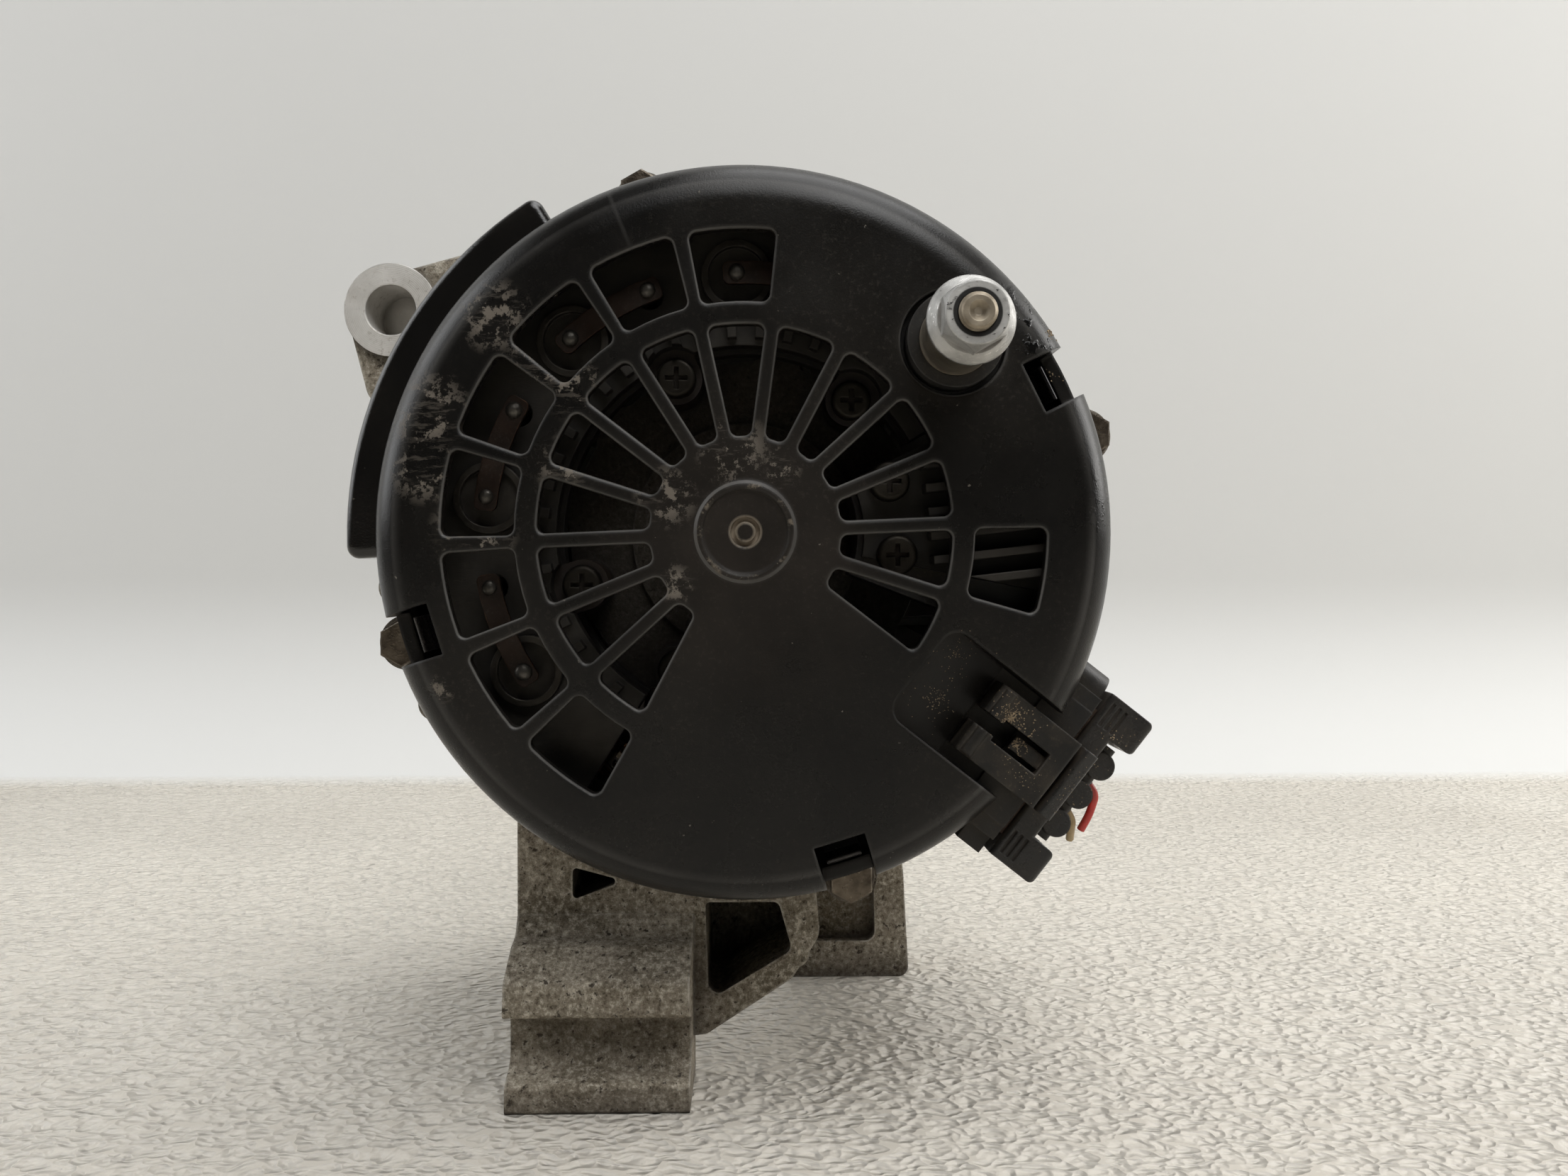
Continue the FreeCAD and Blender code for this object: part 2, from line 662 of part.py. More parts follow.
def rectifier_ears(y0, y1):
    ears = []
    for radius, angle in rectifier_posts:
        p = polar(radius, angle)
        ears.append(rod(4.6, y0, y1, p.x, p.z))
        ears.append(spin(block(radius, 38, y0, y1, -4.6, 4.6), angle))
    return ears


def negative_heat_sink():
    y0, y1 = negative_plate
    plate = joined([sector(34, 57, *rectifier_sweep, y0, y1)] + rectifier_ears(y0, y1))
    seats = [rod(diode_radius, y0 - 1, y1 + 1, p.x, p.z) for p in (polar(diode_ring, a) for a in negative_angles)]
    seats += post_holes(rectifier_posts, 2.1, y0 - 1, y1 + 1)
    seats.append(rod(sleeve_radius + 1.5, y0 - 1, y1 + 1, *stud_place))
    return plate.cut(Part.makeCompound(seats))


def rectifier_carrier():
    """Moulded insulator that keeps the two heat sinks apart and guides the leads."""
    y0, y1 = carrier
    plate = joined([sector(36, 55, *rectifier_sweep, y0, y1)] + rectifier_ears(y0, y1))
    holes = []
    for angle in positive_angles + negative_angles:
        p = polar(diode_ring, angle)
        holes.append(rod(diode_radius + 0.4, y0 - 1, y1 + 1, p.x, p.z))
    holes += post_holes(rectifier_posts, 2.1, y0 - 1, y1 + 1)
    holes.append(rod(sleeve_radius + 1.5, y0 - 1, y1 + 1, *stud_place))
    return plate.cut(Part.makeCompound(holes))


def positive_heat_sink():
    y0, y1 = positive_plate
    plate = sector(34, 57, *rectifier_sweep, y0, y1)
    fins = [spin(block(35, 39, y0 - 2.5, y0, -0.8, 0.8), a) for a in range(62, 236, 8)]
    body = joined([plate] + fins)
    holes = [rod(diode_radius, y0 - 3, y1 + 1, p.x, p.z) for p in (polar(diode_ring, a) for a in positive_angles)]
    holes += [rod(2.4, y0 - 3, y1 + 1, p.x, p.z) for p in (polar(diode_ring, a) for a in negative_angles)]
    holes += post_holes(rectifier_posts, 5.4, y0 - 3, y1 + 1)
    holes.append(rod(stud_thread + 0.4, y0 - 1, y1 + 1, *stud_place))
    return body.cut(Part.makeCompound(holes))


def diodes(angles, y0, y1):
    """Pressed-in cups, each with a glass-sealed lead towards the rear."""
    shapes = []
    for angle in angles:
        p = polar(diode_ring, angle)
        cup = rod(diode_radius, y0, y1, p.x, p.z)
        dish = rod(diode_radius - 1.2, y0 - 1, y0 + 1.2, p.x, p.z)
        shapes.append(cup.cut(dish).fuse(rod(0.7, lead_top, y0 + 2, p.x, p.z)).removeSplitter())
    return Part.makeCompound(shapes)


def phase_straps():
    """Four copper straps, each joining one positive and one negative diode lead."""
    straps = []
    for low in negative_angles:
        strap = sector(diode_ring - 2, diode_ring + 2, low - 3, low + 23, lead_top + 0.6, lead_top + 1.6)
        leads = [rod(0.75, lead_top - 1, lead_top + 3, p.x, p.z)
                 for p in (polar(diode_ring, low), polar(diode_ring, low + 20))]
        straps.append(round_along_y(strap, 1.2).cut(Part.makeCompound(leads)))
    return Part.makeCompound(straps)


def rectifier_screws():
    places = [polar(r, a) for r, a in rectifier_posts]
    return Part.makeCompound([screw(p.x, p.z, carrier[0], slip_wall_in - 0.5) for p in places])


def output_stud():
    x, z = stud_place
    head = hexagon(10.0, positive_plate[1], positive_plate[1] + 3.5, x, z)
    shank = rod(stud_thread, stud_tip, positive_plate[1], x, z)
    dimple = Part.makeCone(1.6, 0.6, 0.9, V(x, stud_tip, z), SHAFT_AXIS)
    tip = [e for e in shank.Edges if e.BoundBox.YMax < stud_tip + 1e-6]
    return head.fuse(shank.makeChamfer(0.6, tip)).cut(dimple).removeSplitter()


def stud_sleeve():
    x, z = stud_place
    return tube(sleeve_radius, stud_thread, nut_seat, positive_plate[0], x, z)


def stud_insulator():
    """Black moulded collar between the live sleeve and the cover."""
    x, z = stud_place
    collar = tube(sleeve_radius + 2.0, sleeve_radius, cover_face - 2.5, positive_plate[0] - 0.2, x, z)
    skirt = tube(stud_hole + 1.0, sleeve_radius, cover_inside + 0.3, cover_inside + 2.3, x, z)
    return joined([collar, skirt])


def stud_nut():
    x, z = stud_place
    flange = Part.makeCone(7.1, 5.6, 1.6, V(x, nut_seat, z), V(0, -1, 0))
    body = hexagon(10.0, nut_seat - 5.8, nut_seat - 0.8, x, z)
    crown = Part.makeCone(6.9, 4.9, 5.8, V(x, nut_seat, z), V(0, -1, 0))
    return flange.fuse(body.common(crown)).cut(rod(stud_thread, nut_seat - 7, nut_seat + 1, x, z)).removeSplitter()


regulator_body = (-21.0, 27.0)
regulator_top = post_top - 13.5
socket_y = (regulator_top, post_top - 1.0)
socket_mouth = 69.0
socket_lid = 0.6
socket_floor = 48.0


def connector_local(shape):
    """Turn a shape drawn with X outwards to the plug's radial line."""
    return spin(shape, plug_angle)


def voltage_regulator():
    """Moulded regulator block in one piece with the plug's socket."""
    block_part = sector(20, 55, *regulator_body, regulator_top, post_top)
    half = socket_half
    shroud = strip([(40, socket_y[0], 2), (socket_mouth, socket_y[0]), (socket_mouth, socket_y[1]),
                    (40, socket_y[1], 2)], -half, half)
    collar = block(64, socket_mouth, socket_y[0] + 2.5, socket_y[1], -half - 3.6, -half)
    boss = Part.makeCylinder(4.0, 12, V(57, socket_y[0] + 6.0, half + 0.5), V(1, 0, 0))
    lid = strip([(60, socket_y[0] - socket_lid), (socket_mouth, socket_y[0] - socket_lid),
                 (socket_mouth, socket_y[0] + 1), (60, socket_y[0] + 1)], -half + 3, half - 3)
    cavity = block(socket_floor, socket_mouth + 1, socket_y[0] + socket_wall, socket_y[1] - socket_wall,
                   -half + socket_wall, half - socket_wall)
    socket = connector_local(joined([shroud, collar, boss, lid]))
    holes = post_holes(regulator_posts, 2.1, regulator_top - 1, post_top + 1)
    pins = [connector_local(pin_shape(v)) for v in pin_places]
    return joined([block_part, socket]).cut(Part.makeCompound([connector_local(cavity)] + holes + pins))


pin_places = (-8.0, 0.0, 8.0)
pin_middle_y = (socket_y[0] + socket_y[1]) / 2


def pin_shape(v):
    return strip([(43, pin_middle_y - 0.4), (64, pin_middle_y - 0.4, 0.3), (64, pin_middle_y + 0.4, 0.3),
                  (43, pin_middle_y + 0.4)], v - 1.4, v + 1.4)


def terminal_pins():
    return Part.makeCompound([connector_local(pin_shape(v)) for v in pin_places])


fin_plate = (regulator_top - 2.0, regulator_top)
fin_sweep = (-11.0, 24.0)


def regulator_heat_sink():
    plate = sector(21, 54, *fin_sweep, *fin_plate)
    middle = sum(fin_sweep) / 2
    fins = []
    for i in range(-3, 4):
        fin = block(32, 53, cover_inside + 1.2, fin_plate[0], i * 4.2 - 0.7, i * 4.2 + 0.7)
        fins.append(spin(fin, middle))
    fins = [fin.common(sector(20, 54, *fin_sweep, cover_inside, fin_plate[1])) for fin in fins]
    holes = post_holes(regulator_posts, 2.1, fin_plate[0] - 1, fin_plate[1] + 1)
    return joined([plate] + fins).cut(Part.makeCompound(holes))


def regulator_screws():
    places = [polar(r, a) for r, a in regulator_posts]
    return Part.makeCompound([screw(p.x, p.z, fin_plate[0], slip_wall_in - 0.5) for p in places])


# ---------------------------------------------------------------- brush gear

brush_width = 5.0          # along X
brush_thickness = 4.4      # along the shaft
brush_play = 0.3
brush_touch = slip_ring_radius + 0.08
brush_back = -20.0
spring_seat = -32.5
spring_wire = 0.4
spring_radius = 1.7
spring_turns = 7.0


def brush_holder():
    """Moulded box with one channel for each brush, screwed to the rear casting."""
    low = slip_ring_middles[1] - 4.2
    high = slip_ring_middles[0] + 4.2
    box = round_along_y(block(-7, 7, low, high, -35, -slip_ring_radius - 2.2), 1.5)
    ears = prism([
        (-brush_screw_x - 4.5, brush_screw_z - 4.5, 4), (brush_screw_x + 4.5, brush_screw_z - 4.5, 4),
        (brush_screw_x + 4.5, brush_screw_z + 4.5, 4), (-brush_screw_x - 4.5, brush_screw_z + 4.5, 4),
    ], post_top - 3, post_top)
    base = block(-7, 7, high - 1, post_top, -34, -14)
    cuts = [rod(2.1, post_top - 4, post_top + 1, side * brush_screw_x, brush_screw_z) for side in (-1, 1)]
    half_x = brush_width / 2 + brush_play
    half_y = brush_thickness / 2 + brush_play
    for middle in slip_ring_middles:
        cuts.append(block(-half_x, half_x, middle - half_y, middle + half_y, spring_seat, 0))
    return joined([box, ears, base]).cut(Part.makeCompound(cuts))


def brush(middle):
    half_x, half_y = brush_width / 2, brush_thickness / 2
    carbon = block(-half_x, half_x, middle - half_y, middle + half_y, brush_back, 0)
    return carbon.cut(rod(brush_touch, middle - 5, middle + 5))


def brush_spring(middle):
    """Wound spring between the holder's floor and the back of the brush."""
    low = spring_seat + spring_wire + 0.05
    high = brush_back - spring_wire - 0.05
    helix = Part.makeHelix((high - low) / spring_turns, high - low, spring_radius)
    start = helix.Vertexes[0].Point
    section = Part.Wire(Part.makeCircle(spring_wire, start, V(0, 1, 0)))
    coil = Part.Wire(helix).makePipeShell([section], True, True)
    coil.translate(V(0, middle, low))
    return coil


def brush_screws():
    return Part.makeCompound([
        screw(side * brush_screw_x, brush_screw_z, post_top - 3, slip_wall_in - 0.5) for side in (-1, 1)
    ])


# ---------------------------------------------------------------- rear cover

lip_round = 0.55
shield_sweep = (121.7, 183.5)
shield_outer = 72.8
shield_brow = 1.8


def cover_slot():
    """Inner slot: the space between two parallel-sided spokes."""
    half = math.radians(slot_step / 2)
    ends = []
    for r in (inner_slots[0] - 4, inner_slots[1] + 6):
        ends.append((r * math.cos(half), r * math.sin(half) - spoke_width / 2 / math.cos(half)))
    (x0, z0), (x1, z1) = ends
    wedge = prism([(x0, -z0), (x1, -z1), (x1, z1), (x0, z0)], cover_face - 5, cover_face + 8)
    ring = tube(inner_slots[1], inner_slots[0], cover_face - 5, cover_face + 8)
    return round_along_y(wedge.common(ring), 1.35)


def rear_cover():
    shell = lathe([
        (0, cover_face), (cover_radius, cover_face, cover_round), (cover_radius, cover_edge),
        (cover_radius - cover_wall, cover_edge),
        (cover_radius - cover_wall, cover_inside, cover_round - cover_wall), (0, cover_inside),
    ])
    slots = around(cover_slot(), [332.5 + slot_step * i for i in range(14)])
    half = window_sweep / 2
    window = round_along_y(sector(*outer_windows, -half, half, cover_face - 5, cover_face + 8), 1.4)
    slots += around(window, [92.5 + slot_step * i for i in range(8)] + [352.5])
    slots.append(rod(stud_hole, cover_face - 5, cover_face + 8, *stud_place))
    shell = shell.cut(Part.makeCompound(slots))
    lips = [e for e in shell.Edges
            if e.BoundBox.YMax < cover_face + 1e-4 and e.BoundBox.DiagonalLength < cover_radius]
    shell = shell.makeFillet(lip_round, lips)
    boss = lathe([
        (0, cover_face), (7.3, cover_face), (7.3, cover_face - 0.5), (8.2, cover_face - 0.5, 0.3),
        (8.8, cover_face), (8.8, cover_inside - 0.5), (0, cover_inside - 0.5),
    ])
    parts = [shell, boss] + recess_walls() + side_shield()
    cuts = [recess_hollow(), socket_gate()]
    clip_window = block(clip_window_inner, cover_radius + 10, cover_face - 3, cover_face + 13,
                        -clip_window_width / 2, clip_window_width / 2)
    cuts += around(clip_window, clip_angles)
    dimple = rod(2.55, cover_face - 1, cover_face + 1.1).cut(rod(1.75, cover_face + 0.2, cover_face + 2))
    cuts.append(dimple)
    return joined(parts).cut(Part.makeCompound(cuts)).removeSplitter()


recess_bottom = cover_face + 9.0
recess_wall = 2.0


def recess_walls():
    """Trough for the plug: two side walls, an end wall and a floor that slopes outwards."""
    wall = recess_half + recess_wall
    solid = strip([
        (recess_start - recess_wall, cover_face + 0.5), (cover_radius - cover_wall / 2, cover_face + 0.5),
        (cover_radius - cover_wall / 2, recess_bottom), (50.5, recess_bottom),
        (recess_start - recess_wall, cover_face + 4.5),
    ], -wall, wall)
    dome = lathe([
        (0, cover_face), (cover_radius, cover_face, cover_round), (cover_radius, cover_edge), (0, cover_edge),
    ])
    return [connector_local(solid.common(dome))]


def recess_hollow():
    floor = strip([
        (recess_start, cover_face - 5), (cover_radius + 10, cover_face - 5),
        (cover_radius + 10, socket_y[0]), (50.5, socket_y[0]),
        (50.5, recess_bottom - 1.5), (recess_start, cover_face + 2.6),
    ], -recess_half, recess_half)
    inner = [e for e in floor.Edges
             if e.BoundBox.XMax < recess_start + 1e-4 and e.BoundBox.YLength > 2]
    return connector_local(floor.makeFillet(3.0, inner))


def socket_gate():
    """Opening in the skirt for the socket, and for its boss and collar."""
    gap = 0.5
    return connector_local(joined([
        block(54, cover_radius + 10, socket_y[0] - socket_lid - gap, cover_edge + 5,
              -socket_half - gap, socket_half + gap),
        block(54, cover_radius + 10, socket_y[0] + 1.5, cover_edge + 5, -socket_half - 4.4, socket_half + 5.2),
    ]))


def side_shield():
    """Air shield standing out from the skirt, open towards the casting."""
    y = cover_face + 15.0
    face = sector(cover_radius - 1, shield_outer, *shield_sweep, y, y + 2.5)
    wall = sector(shield_outer - 2.5, shield_outer, *shield_sweep, y, y + 14)
    ends = [sector(cover_radius - 1, shield_outer, a, a + 2.2, y, y + 14)
            for a in (shield_sweep[0], shield_sweep[1] - 2.2)]
    body = joined([face, wall] + ends)
    corners = [e for e in body.Edges
               if e.BoundBox.YLength > 13 and e.Vertexes[0].Point.sub(V(0, e.Vertexes[0].Point.y, 0)).Length
               > shield_outer - 0.1]
    body = body.makeFillet(2.2, corners)
    brow = [e for e in body.Edges if e.BoundBox.YLength < 1e-4 and abs(e.BoundBox.YMin - y) < 1e-4
            and e.Length > 20 and abs(e.Vertexes[0].Point.sub(V(0, y, 0)).Length - shield_outer) < 2.5]
    return [body.makeFillet(shield_brow, brow)]


def cover_clips():
    """Spring-steel hooks that stand up from the rear casting and snap into the cover's windows."""
    top = cover_face + 7.0
    sheet = strip([
        (58.6, top + 3), (59.8, top, 0.4), (61.2, top + 4.5), (60.0, top + 5.5), (59.8, slip_wall_out),
        (58.6, slip_wall_out),
    ], -3.2, 3.2)
    return Part.makeCompound(around(sheet, clip_angles))


# ---------------------------------------------------------------- harness plug

plug_y = (socket_y[0] + socket_wall + plug_clearance, socket_y[1] - socket_wall - plug_clearance)
plug_half = socket_half - socket_wall - plug_clearance
shell_start = socket_mouth + 1.0
shell_end = 80.0
shell_y = (socket_y[0] + 0.5, socket_y[1] - 1.0)
latch_top = cover_face + 2.0
latch_bottom = socket_y[0] - 1.4
latch_start = 51.4
latch_end = 69.0
latch_half = 7.0
latch_pivot = 1.0          # rounded root about which the latch bends


def plug_housing():
    nose = block(socket_floor + 1, shell_start + 1, plug_y[0], plug_y[1], -plug_half, plug_half)
    base = strip([(shell_start, shell_y[0], 0.8), (75, shell_y[0], 0.8), (75, shell_y[1]), (shell_start, shell_y[1])],
                 -18.2, 18.2)
    arms = []
    for side in (-1, 1):
        z0, z1 = sorted((side * 11.2, side * 18.2))
        arm = block(74, shell_end, shell_y[0], shell_y[1], z0, z1)
        edges = [e for e in arm.Edges if e.BoundBox.XMin > shell_end - 1e-4]
        arms.append(arm.makeFillet(1.6, edges))
    tail = strip([(74, shell_y[0] + 4), (78.4, shell_y[0] + 4, 1), (78.4, shell_y[1] - 1, 1), (74, shell_y[1] - 1)],
                 -10.4, 10.4)
    bridge = strip([(shell_start, latch_top + 2.5, 1), (73.5, latch_top + 4, 1), (73.5, shell_y[0] + 1),
                    (shell_start, shell_y[0] + 1)], -latch_half, latch_half)
    tabs = []
    for v in pin_places:
        tabs.append(Part.makeCylinder(2.6, 2.8, V(77.2, shell_y[0] + 2.6, v * 0.82), SHAFT_AXIS))
    body = joined([nose, base, tail, bridge] + arms + tabs)
    cavities = [block(socket_floor, 68, pin_middle_y - 0.8, pin_middle_y + 0.8, v - 1.8, v + 1.8) for v in pin_places]
    grip = [block(71.2 + i * 1.3, 71.8 + i * 1.3, shell_y[0] - 1, shell_y[0] + 0.4, side * 14.5 - 2.4, side * 14.5 + 2.4)
            for i in range(3) for side in (-1, 1)]
    return connector_local(body.cut(Part.makeCompound(cavities + grip)))


def plug_seal():
    """Rubber ring round the root of the plug, squeezed against the socket's mouth."""
    ring = block(socket_mouth + 0.1, shell_start, plug_y[0] - 1.6, plug_y[1] + 1.6, -plug_half - 1.6, plug_half + 1.6)
    hole = block(socket_mouth - 1, shell_start + 1, plug_y[0], plug_y[1], -plug_half, plug_half)
    return connector_local(ring.cut(hole))


def plug_latch():
    """Springy lever on top of the plug: two prongs, a beaded end and a centre tongue."""
    body = strip([
        (latch_start, latch_top + 0.6, 0.8), (latch_start + 3, latch_top, 1.2), (latch_end, latch_top + 1.2, 0.8),
        (latch_end, latch_bottom, latch_pivot), (latch_start, latch_bottom),
    ], -latch_half, latch_half)
    slot = block(latch_start + 4.0, latch_end - 3.6, latch_top - 1, latch_bottom + 1, -2.2, 2.2)
    nick = block(latch_start - 1, latch_start + 5, latch_top - 1, latch_bottom + 1, -1.4, 1.4)
    tongue = strip([(latch_start + 7.5, latch_top + 2.2, 0.5), (latch_end - 3, latch_top + 2.2),
                    (latch_end - 3, latch_bottom), (latch_start + 9, latch_bottom)], -1.3, 1.3)
    bead = Part.makeCylinder(1.2, 2 * latch_half - 0.6, V(latch_start + 2.0, latch_top + 0.5, -latch_half + 0.3), V(0, 0, 1))
    return connector_local(joined([body.cut(joined([slot, nick])), tongue, bead.cut(nick)]))


wire_radius = 0.75


def wire_stub(points):
    """Cut end of a harness wire: straight runs joined by tangent arcs."""
    edges = []
    last = points[0]
    for before, here, after in zip(points, points[1:], points[2:]):
        back, on = (before - here), (after - here)
        half = back.getAngle(on) / 2
        reach = 0.45 * min(back.Length, on.Length)
        radius = reach * math.tan(half)
        back.normalize()
        on.normalize()
        centre = here + (back + on).normalize() * (radius / math.sin(half))
        middle = centre + (here - centre).normalize() * radius
        start, finish = here + back * reach, here + on * reach
        edges += [Part.LineSegment(last, start).toShape(), Part.Arc(start, middle, finish).toShape()]
        last = finish
    edges.append(Part.LineSegment(last, points[-1]).toShape())
    path = Part.Wire(edges)
    section = Part.Wire(Part.makeCircle(wire_radius, points[0], points[1] - points[0]))
    return connector_local(path.makePipeShell([section], True, True))


wire_y = shell_y[0] + 6.5
red_wire_route = [(78.7, 0.0, 2.8), (81.0, 0.2, 2.0), (82.6, 1.0, -1.6), (83.4, 2.0, -4.8)]
tan_wire_route = [(78.7, 0.4, -3.6), (80.6, 0.8, -4.4), (82.2, 2.6, -6.0), (83.6, 4.4, -7.4)]


def routed(route):
    return wire_stub([V(u, wire_y + dy, v) for u, dy, v in route])


os.makedirs("parts", exist_ok=True)

nodes = {
    "rear_cover": rear_cover(),
    "cover_clips": cover_clips(),
    "slip_ring_end_bracket": slip_ring_end_bracket(),
    "drive_end_bracket": drive_end_bracket(),
    "stator_core": stator_core(),
    "stator_winding": stator_winding(),
    "slot_liners": slot_liners(),
    "through_bolts": through_bolts(),
    "bearing_retainer": bearing_retainer(),
    "retainer_screws": retainer_screws(),
    "negative_heat_sink": negative_heat_sink(),
    "rectifier_carrier": rectifier_carrier(),
    "positive_heat_sink": positive_heat_sink(),
    "negative_diodes": diodes(negative_angles, negative_plate[0] - 1.8, negative_plate[1]),
    "positive_diodes": diodes(positive_angles, positive_plate[0] - 2.2, positive_plate[1]),
    "phase_straps": phase_straps(),
    "rectifier_screws": rectifier_screws(),
    "output_stud": output_stud(),
    "stud_sleeve": stud_sleeve(),
    "stud_insulator": stud_insulator(),
    "stud_nut": stud_nut(),
    "voltage_regulator": voltage_regulator(),
    "terminal_pins": terminal_pins(),
    "regulator_heat_sink": regulator_heat_sink(),
    "regulator_screws": regulator_screws(),
    "brush_holder": brush_holder(),
    "brush_screws": brush_screws(),
    "inner_brush": brush(slip_ring_middles[0]),
    "outer_brush": brush(slip_ring_middles[1]),
    "inner_brush_spring": brush_spring(slip_ring_middles[0]),
    "outer_brush_spring": brush_spring(slip_ring_middles[1]),
    "rotor_shaft": rotor_shaft(),
    "slip_ring_sleeve": slip_ring_sleeve(),
    "slip_rings": slip_rings(),
    "front_claw_pole": claw_pole(True),
    "rear_claw_pole": claw_pole(False),
    "coil_bobbin": coil_bobbin(),
    "field_coil": field_coil(),
    "front_fan": fan(True),
    "rear_fan": fan(False),
    "spacer_collar": spacer_collar(),
    "pulley": pulley(),
    "pulley_washer": pulley_washer(),
    "pulley_nut": pulley_nut(),
    "plug_housing": plug_housing(),
    "plug_seal": plug_seal(),
    "plug_latch": plug_latch(),
    "red_wire_stub": routed(red_wire_route),
    "tan_wire_stub": routed(tan_wire_route),
}
for place, bearing, start in (("front", front_bearing, front_bearing_y), ("rear", rear_bearing, rear_bearing_y)):
    nodes[place + "_bearing_outer_ring"] = bearing_outer_ring(bearing, start)
    nodes[place + "_bearing_inner_ring"] = bearing_inner_ring(bearing, start)
    nodes[place + "_bearing_balls"] = bearing_balls(bearing, start)
    nodes[place + "_bearing_cage"] = bearing_cage(bearing, start)
    nodes[place + "_bearing_seals"] = bearing_seals(bearing, start)

for name, shape in nodes.items():
    shape.exportStep(os.path.join("parts", name + ".step"))
    box = shape.BoundBox
    print(name, len(shape.Solids), shape.isValid(), round(shape.Volume),
          [round(v, 1) for v in (box.XMin, box.XMax, box.YMin, box.YMax, box.ZMin, box.ZMax)])
print(len(nodes), "nodes")
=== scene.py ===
import math
import random

import bmesh
import bpy
from mathutils import Matrix, Vector
from mathutils.bvhtree import BVHTree


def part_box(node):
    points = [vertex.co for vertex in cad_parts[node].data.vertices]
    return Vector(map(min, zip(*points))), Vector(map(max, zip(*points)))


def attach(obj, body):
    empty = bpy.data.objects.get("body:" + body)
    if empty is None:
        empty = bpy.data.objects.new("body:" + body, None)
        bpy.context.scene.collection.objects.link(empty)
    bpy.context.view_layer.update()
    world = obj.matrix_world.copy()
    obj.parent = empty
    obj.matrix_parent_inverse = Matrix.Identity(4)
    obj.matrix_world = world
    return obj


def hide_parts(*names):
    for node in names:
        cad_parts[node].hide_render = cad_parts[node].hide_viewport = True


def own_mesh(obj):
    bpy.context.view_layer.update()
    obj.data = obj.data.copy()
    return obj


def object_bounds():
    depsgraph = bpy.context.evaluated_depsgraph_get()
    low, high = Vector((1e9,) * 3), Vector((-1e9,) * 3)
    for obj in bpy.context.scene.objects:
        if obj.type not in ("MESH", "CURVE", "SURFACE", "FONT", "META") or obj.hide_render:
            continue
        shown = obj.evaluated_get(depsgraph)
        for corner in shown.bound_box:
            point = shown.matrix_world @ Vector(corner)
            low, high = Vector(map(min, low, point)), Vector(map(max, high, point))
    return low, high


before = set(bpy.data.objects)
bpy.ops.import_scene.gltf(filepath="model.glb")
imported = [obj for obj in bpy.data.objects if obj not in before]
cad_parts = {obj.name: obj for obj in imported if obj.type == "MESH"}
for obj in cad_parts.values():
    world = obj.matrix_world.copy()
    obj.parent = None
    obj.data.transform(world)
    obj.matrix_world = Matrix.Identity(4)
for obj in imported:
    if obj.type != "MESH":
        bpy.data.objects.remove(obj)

cad_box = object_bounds()


# ---- The two end castings
# Die-cast aluminium, left as it came from the mould: dull, pitted and grey-brown where road dirt
# has settled in the corners. Only the pads, the ear ring and the bores were machined bright.
def link(tree, source, target):
    tree.links.new(source, target)


def node(tree, kind, **values):
    made = tree.nodes.new("ShaderNode" + kind)
    for name, value in values.items():
        setattr(made, name, value)
    return made


def feed(tree, made, **inputs):
    for name, value in inputs.items():
        socket = made.inputs[name.replace("_", " ")]
        if isinstance(value, bpy.types.NodeSocket):
            link(tree, value, socket)
        else:
            socket.default_value = value
    return made


def new_effect(name, inputs, outputs):
    tree = bpy.data.node_groups.new(name, "ShaderNodeTree")
    for label, value in inputs.items():
        socket = tree.interface.new_socket(label, in_out="INPUT", socket_type="NodeSocketFloat")
        socket.default_value = value
    for label, kind in outputs.items():
        tree.interface.new_socket(label, in_out="OUTPUT", socket_type="NodeSocket" + kind)
    return tree, tree.nodes.new("NodeGroupInput"), tree.nodes.new("NodeGroupOutput")


def maths(tree, operation, a, b=None, clamp=False):
    made = node(tree, "Math", operation=operation, use_clamp=clamp)
    for i, value in enumerate((a, b)):
        if value is None:
            continue
        if isinstance(value, bpy.types.NodeSocket):
            link(tree, value, made.inputs[i])
        else:
            made.inputs[i].default_value = value
    return made.outputs[0]


def ramp(tree, value, low, high, out_low=0.0, out_high=1.0):
    made = node(tree, "MapRange")
    feed(tree, made, Value=value, From_Min=low, From_Max=high, To_Min=out_low, To_Max=out_high)
    return made.outputs["Result"]


def noise(tree, vector, scale, detail=4.0, roughness=0.55):
    made = node(tree, "TexNoise")
    feed(tree, made, Vector=vector, Scale=scale, Detail=detail, Roughness=roughness)
    return made.outputs["Fac"]


def object_place(tree):
    return node(tree, "TexCoord").outputs["Object"]


def make_edge_wear():
    tree, given, result = new_effect(
        "edge_wear", {"Radius": 0.0005, "Amount": 1.0, "Patch Scale": 300.0},
        {"Mask": "Float", "Normal": "Vector"})
    bevel = node(tree, "Bevel", samples=4)
    link(tree, given.outputs["Radius"], bevel.inputs["Radius"])
    plain = node(tree, "NewGeometry")
    dot = node(tree, "VectorMath", operation="DOT_PRODUCT")
    link(tree, bevel.outputs[0], dot.inputs[0])
    link(tree, plain.outputs["Normal"], dot.inputs[1])
    edge = ramp(tree, dot.outputs["Value"], 0.995, 0.86)
    patches = noise(tree, object_place(tree), given.outputs["Patch Scale"])
    worn = ramp(tree, patches, 0.38, 0.62)
    mask = maths(tree, "MULTIPLY", maths(tree, "MULTIPLY", edge, worn), given.outputs["Amount"], clamp=True)
    link(tree, mask, result.inputs["Mask"])
    link(tree, bevel.outputs[0], result.inputs["Normal"])
    return tree


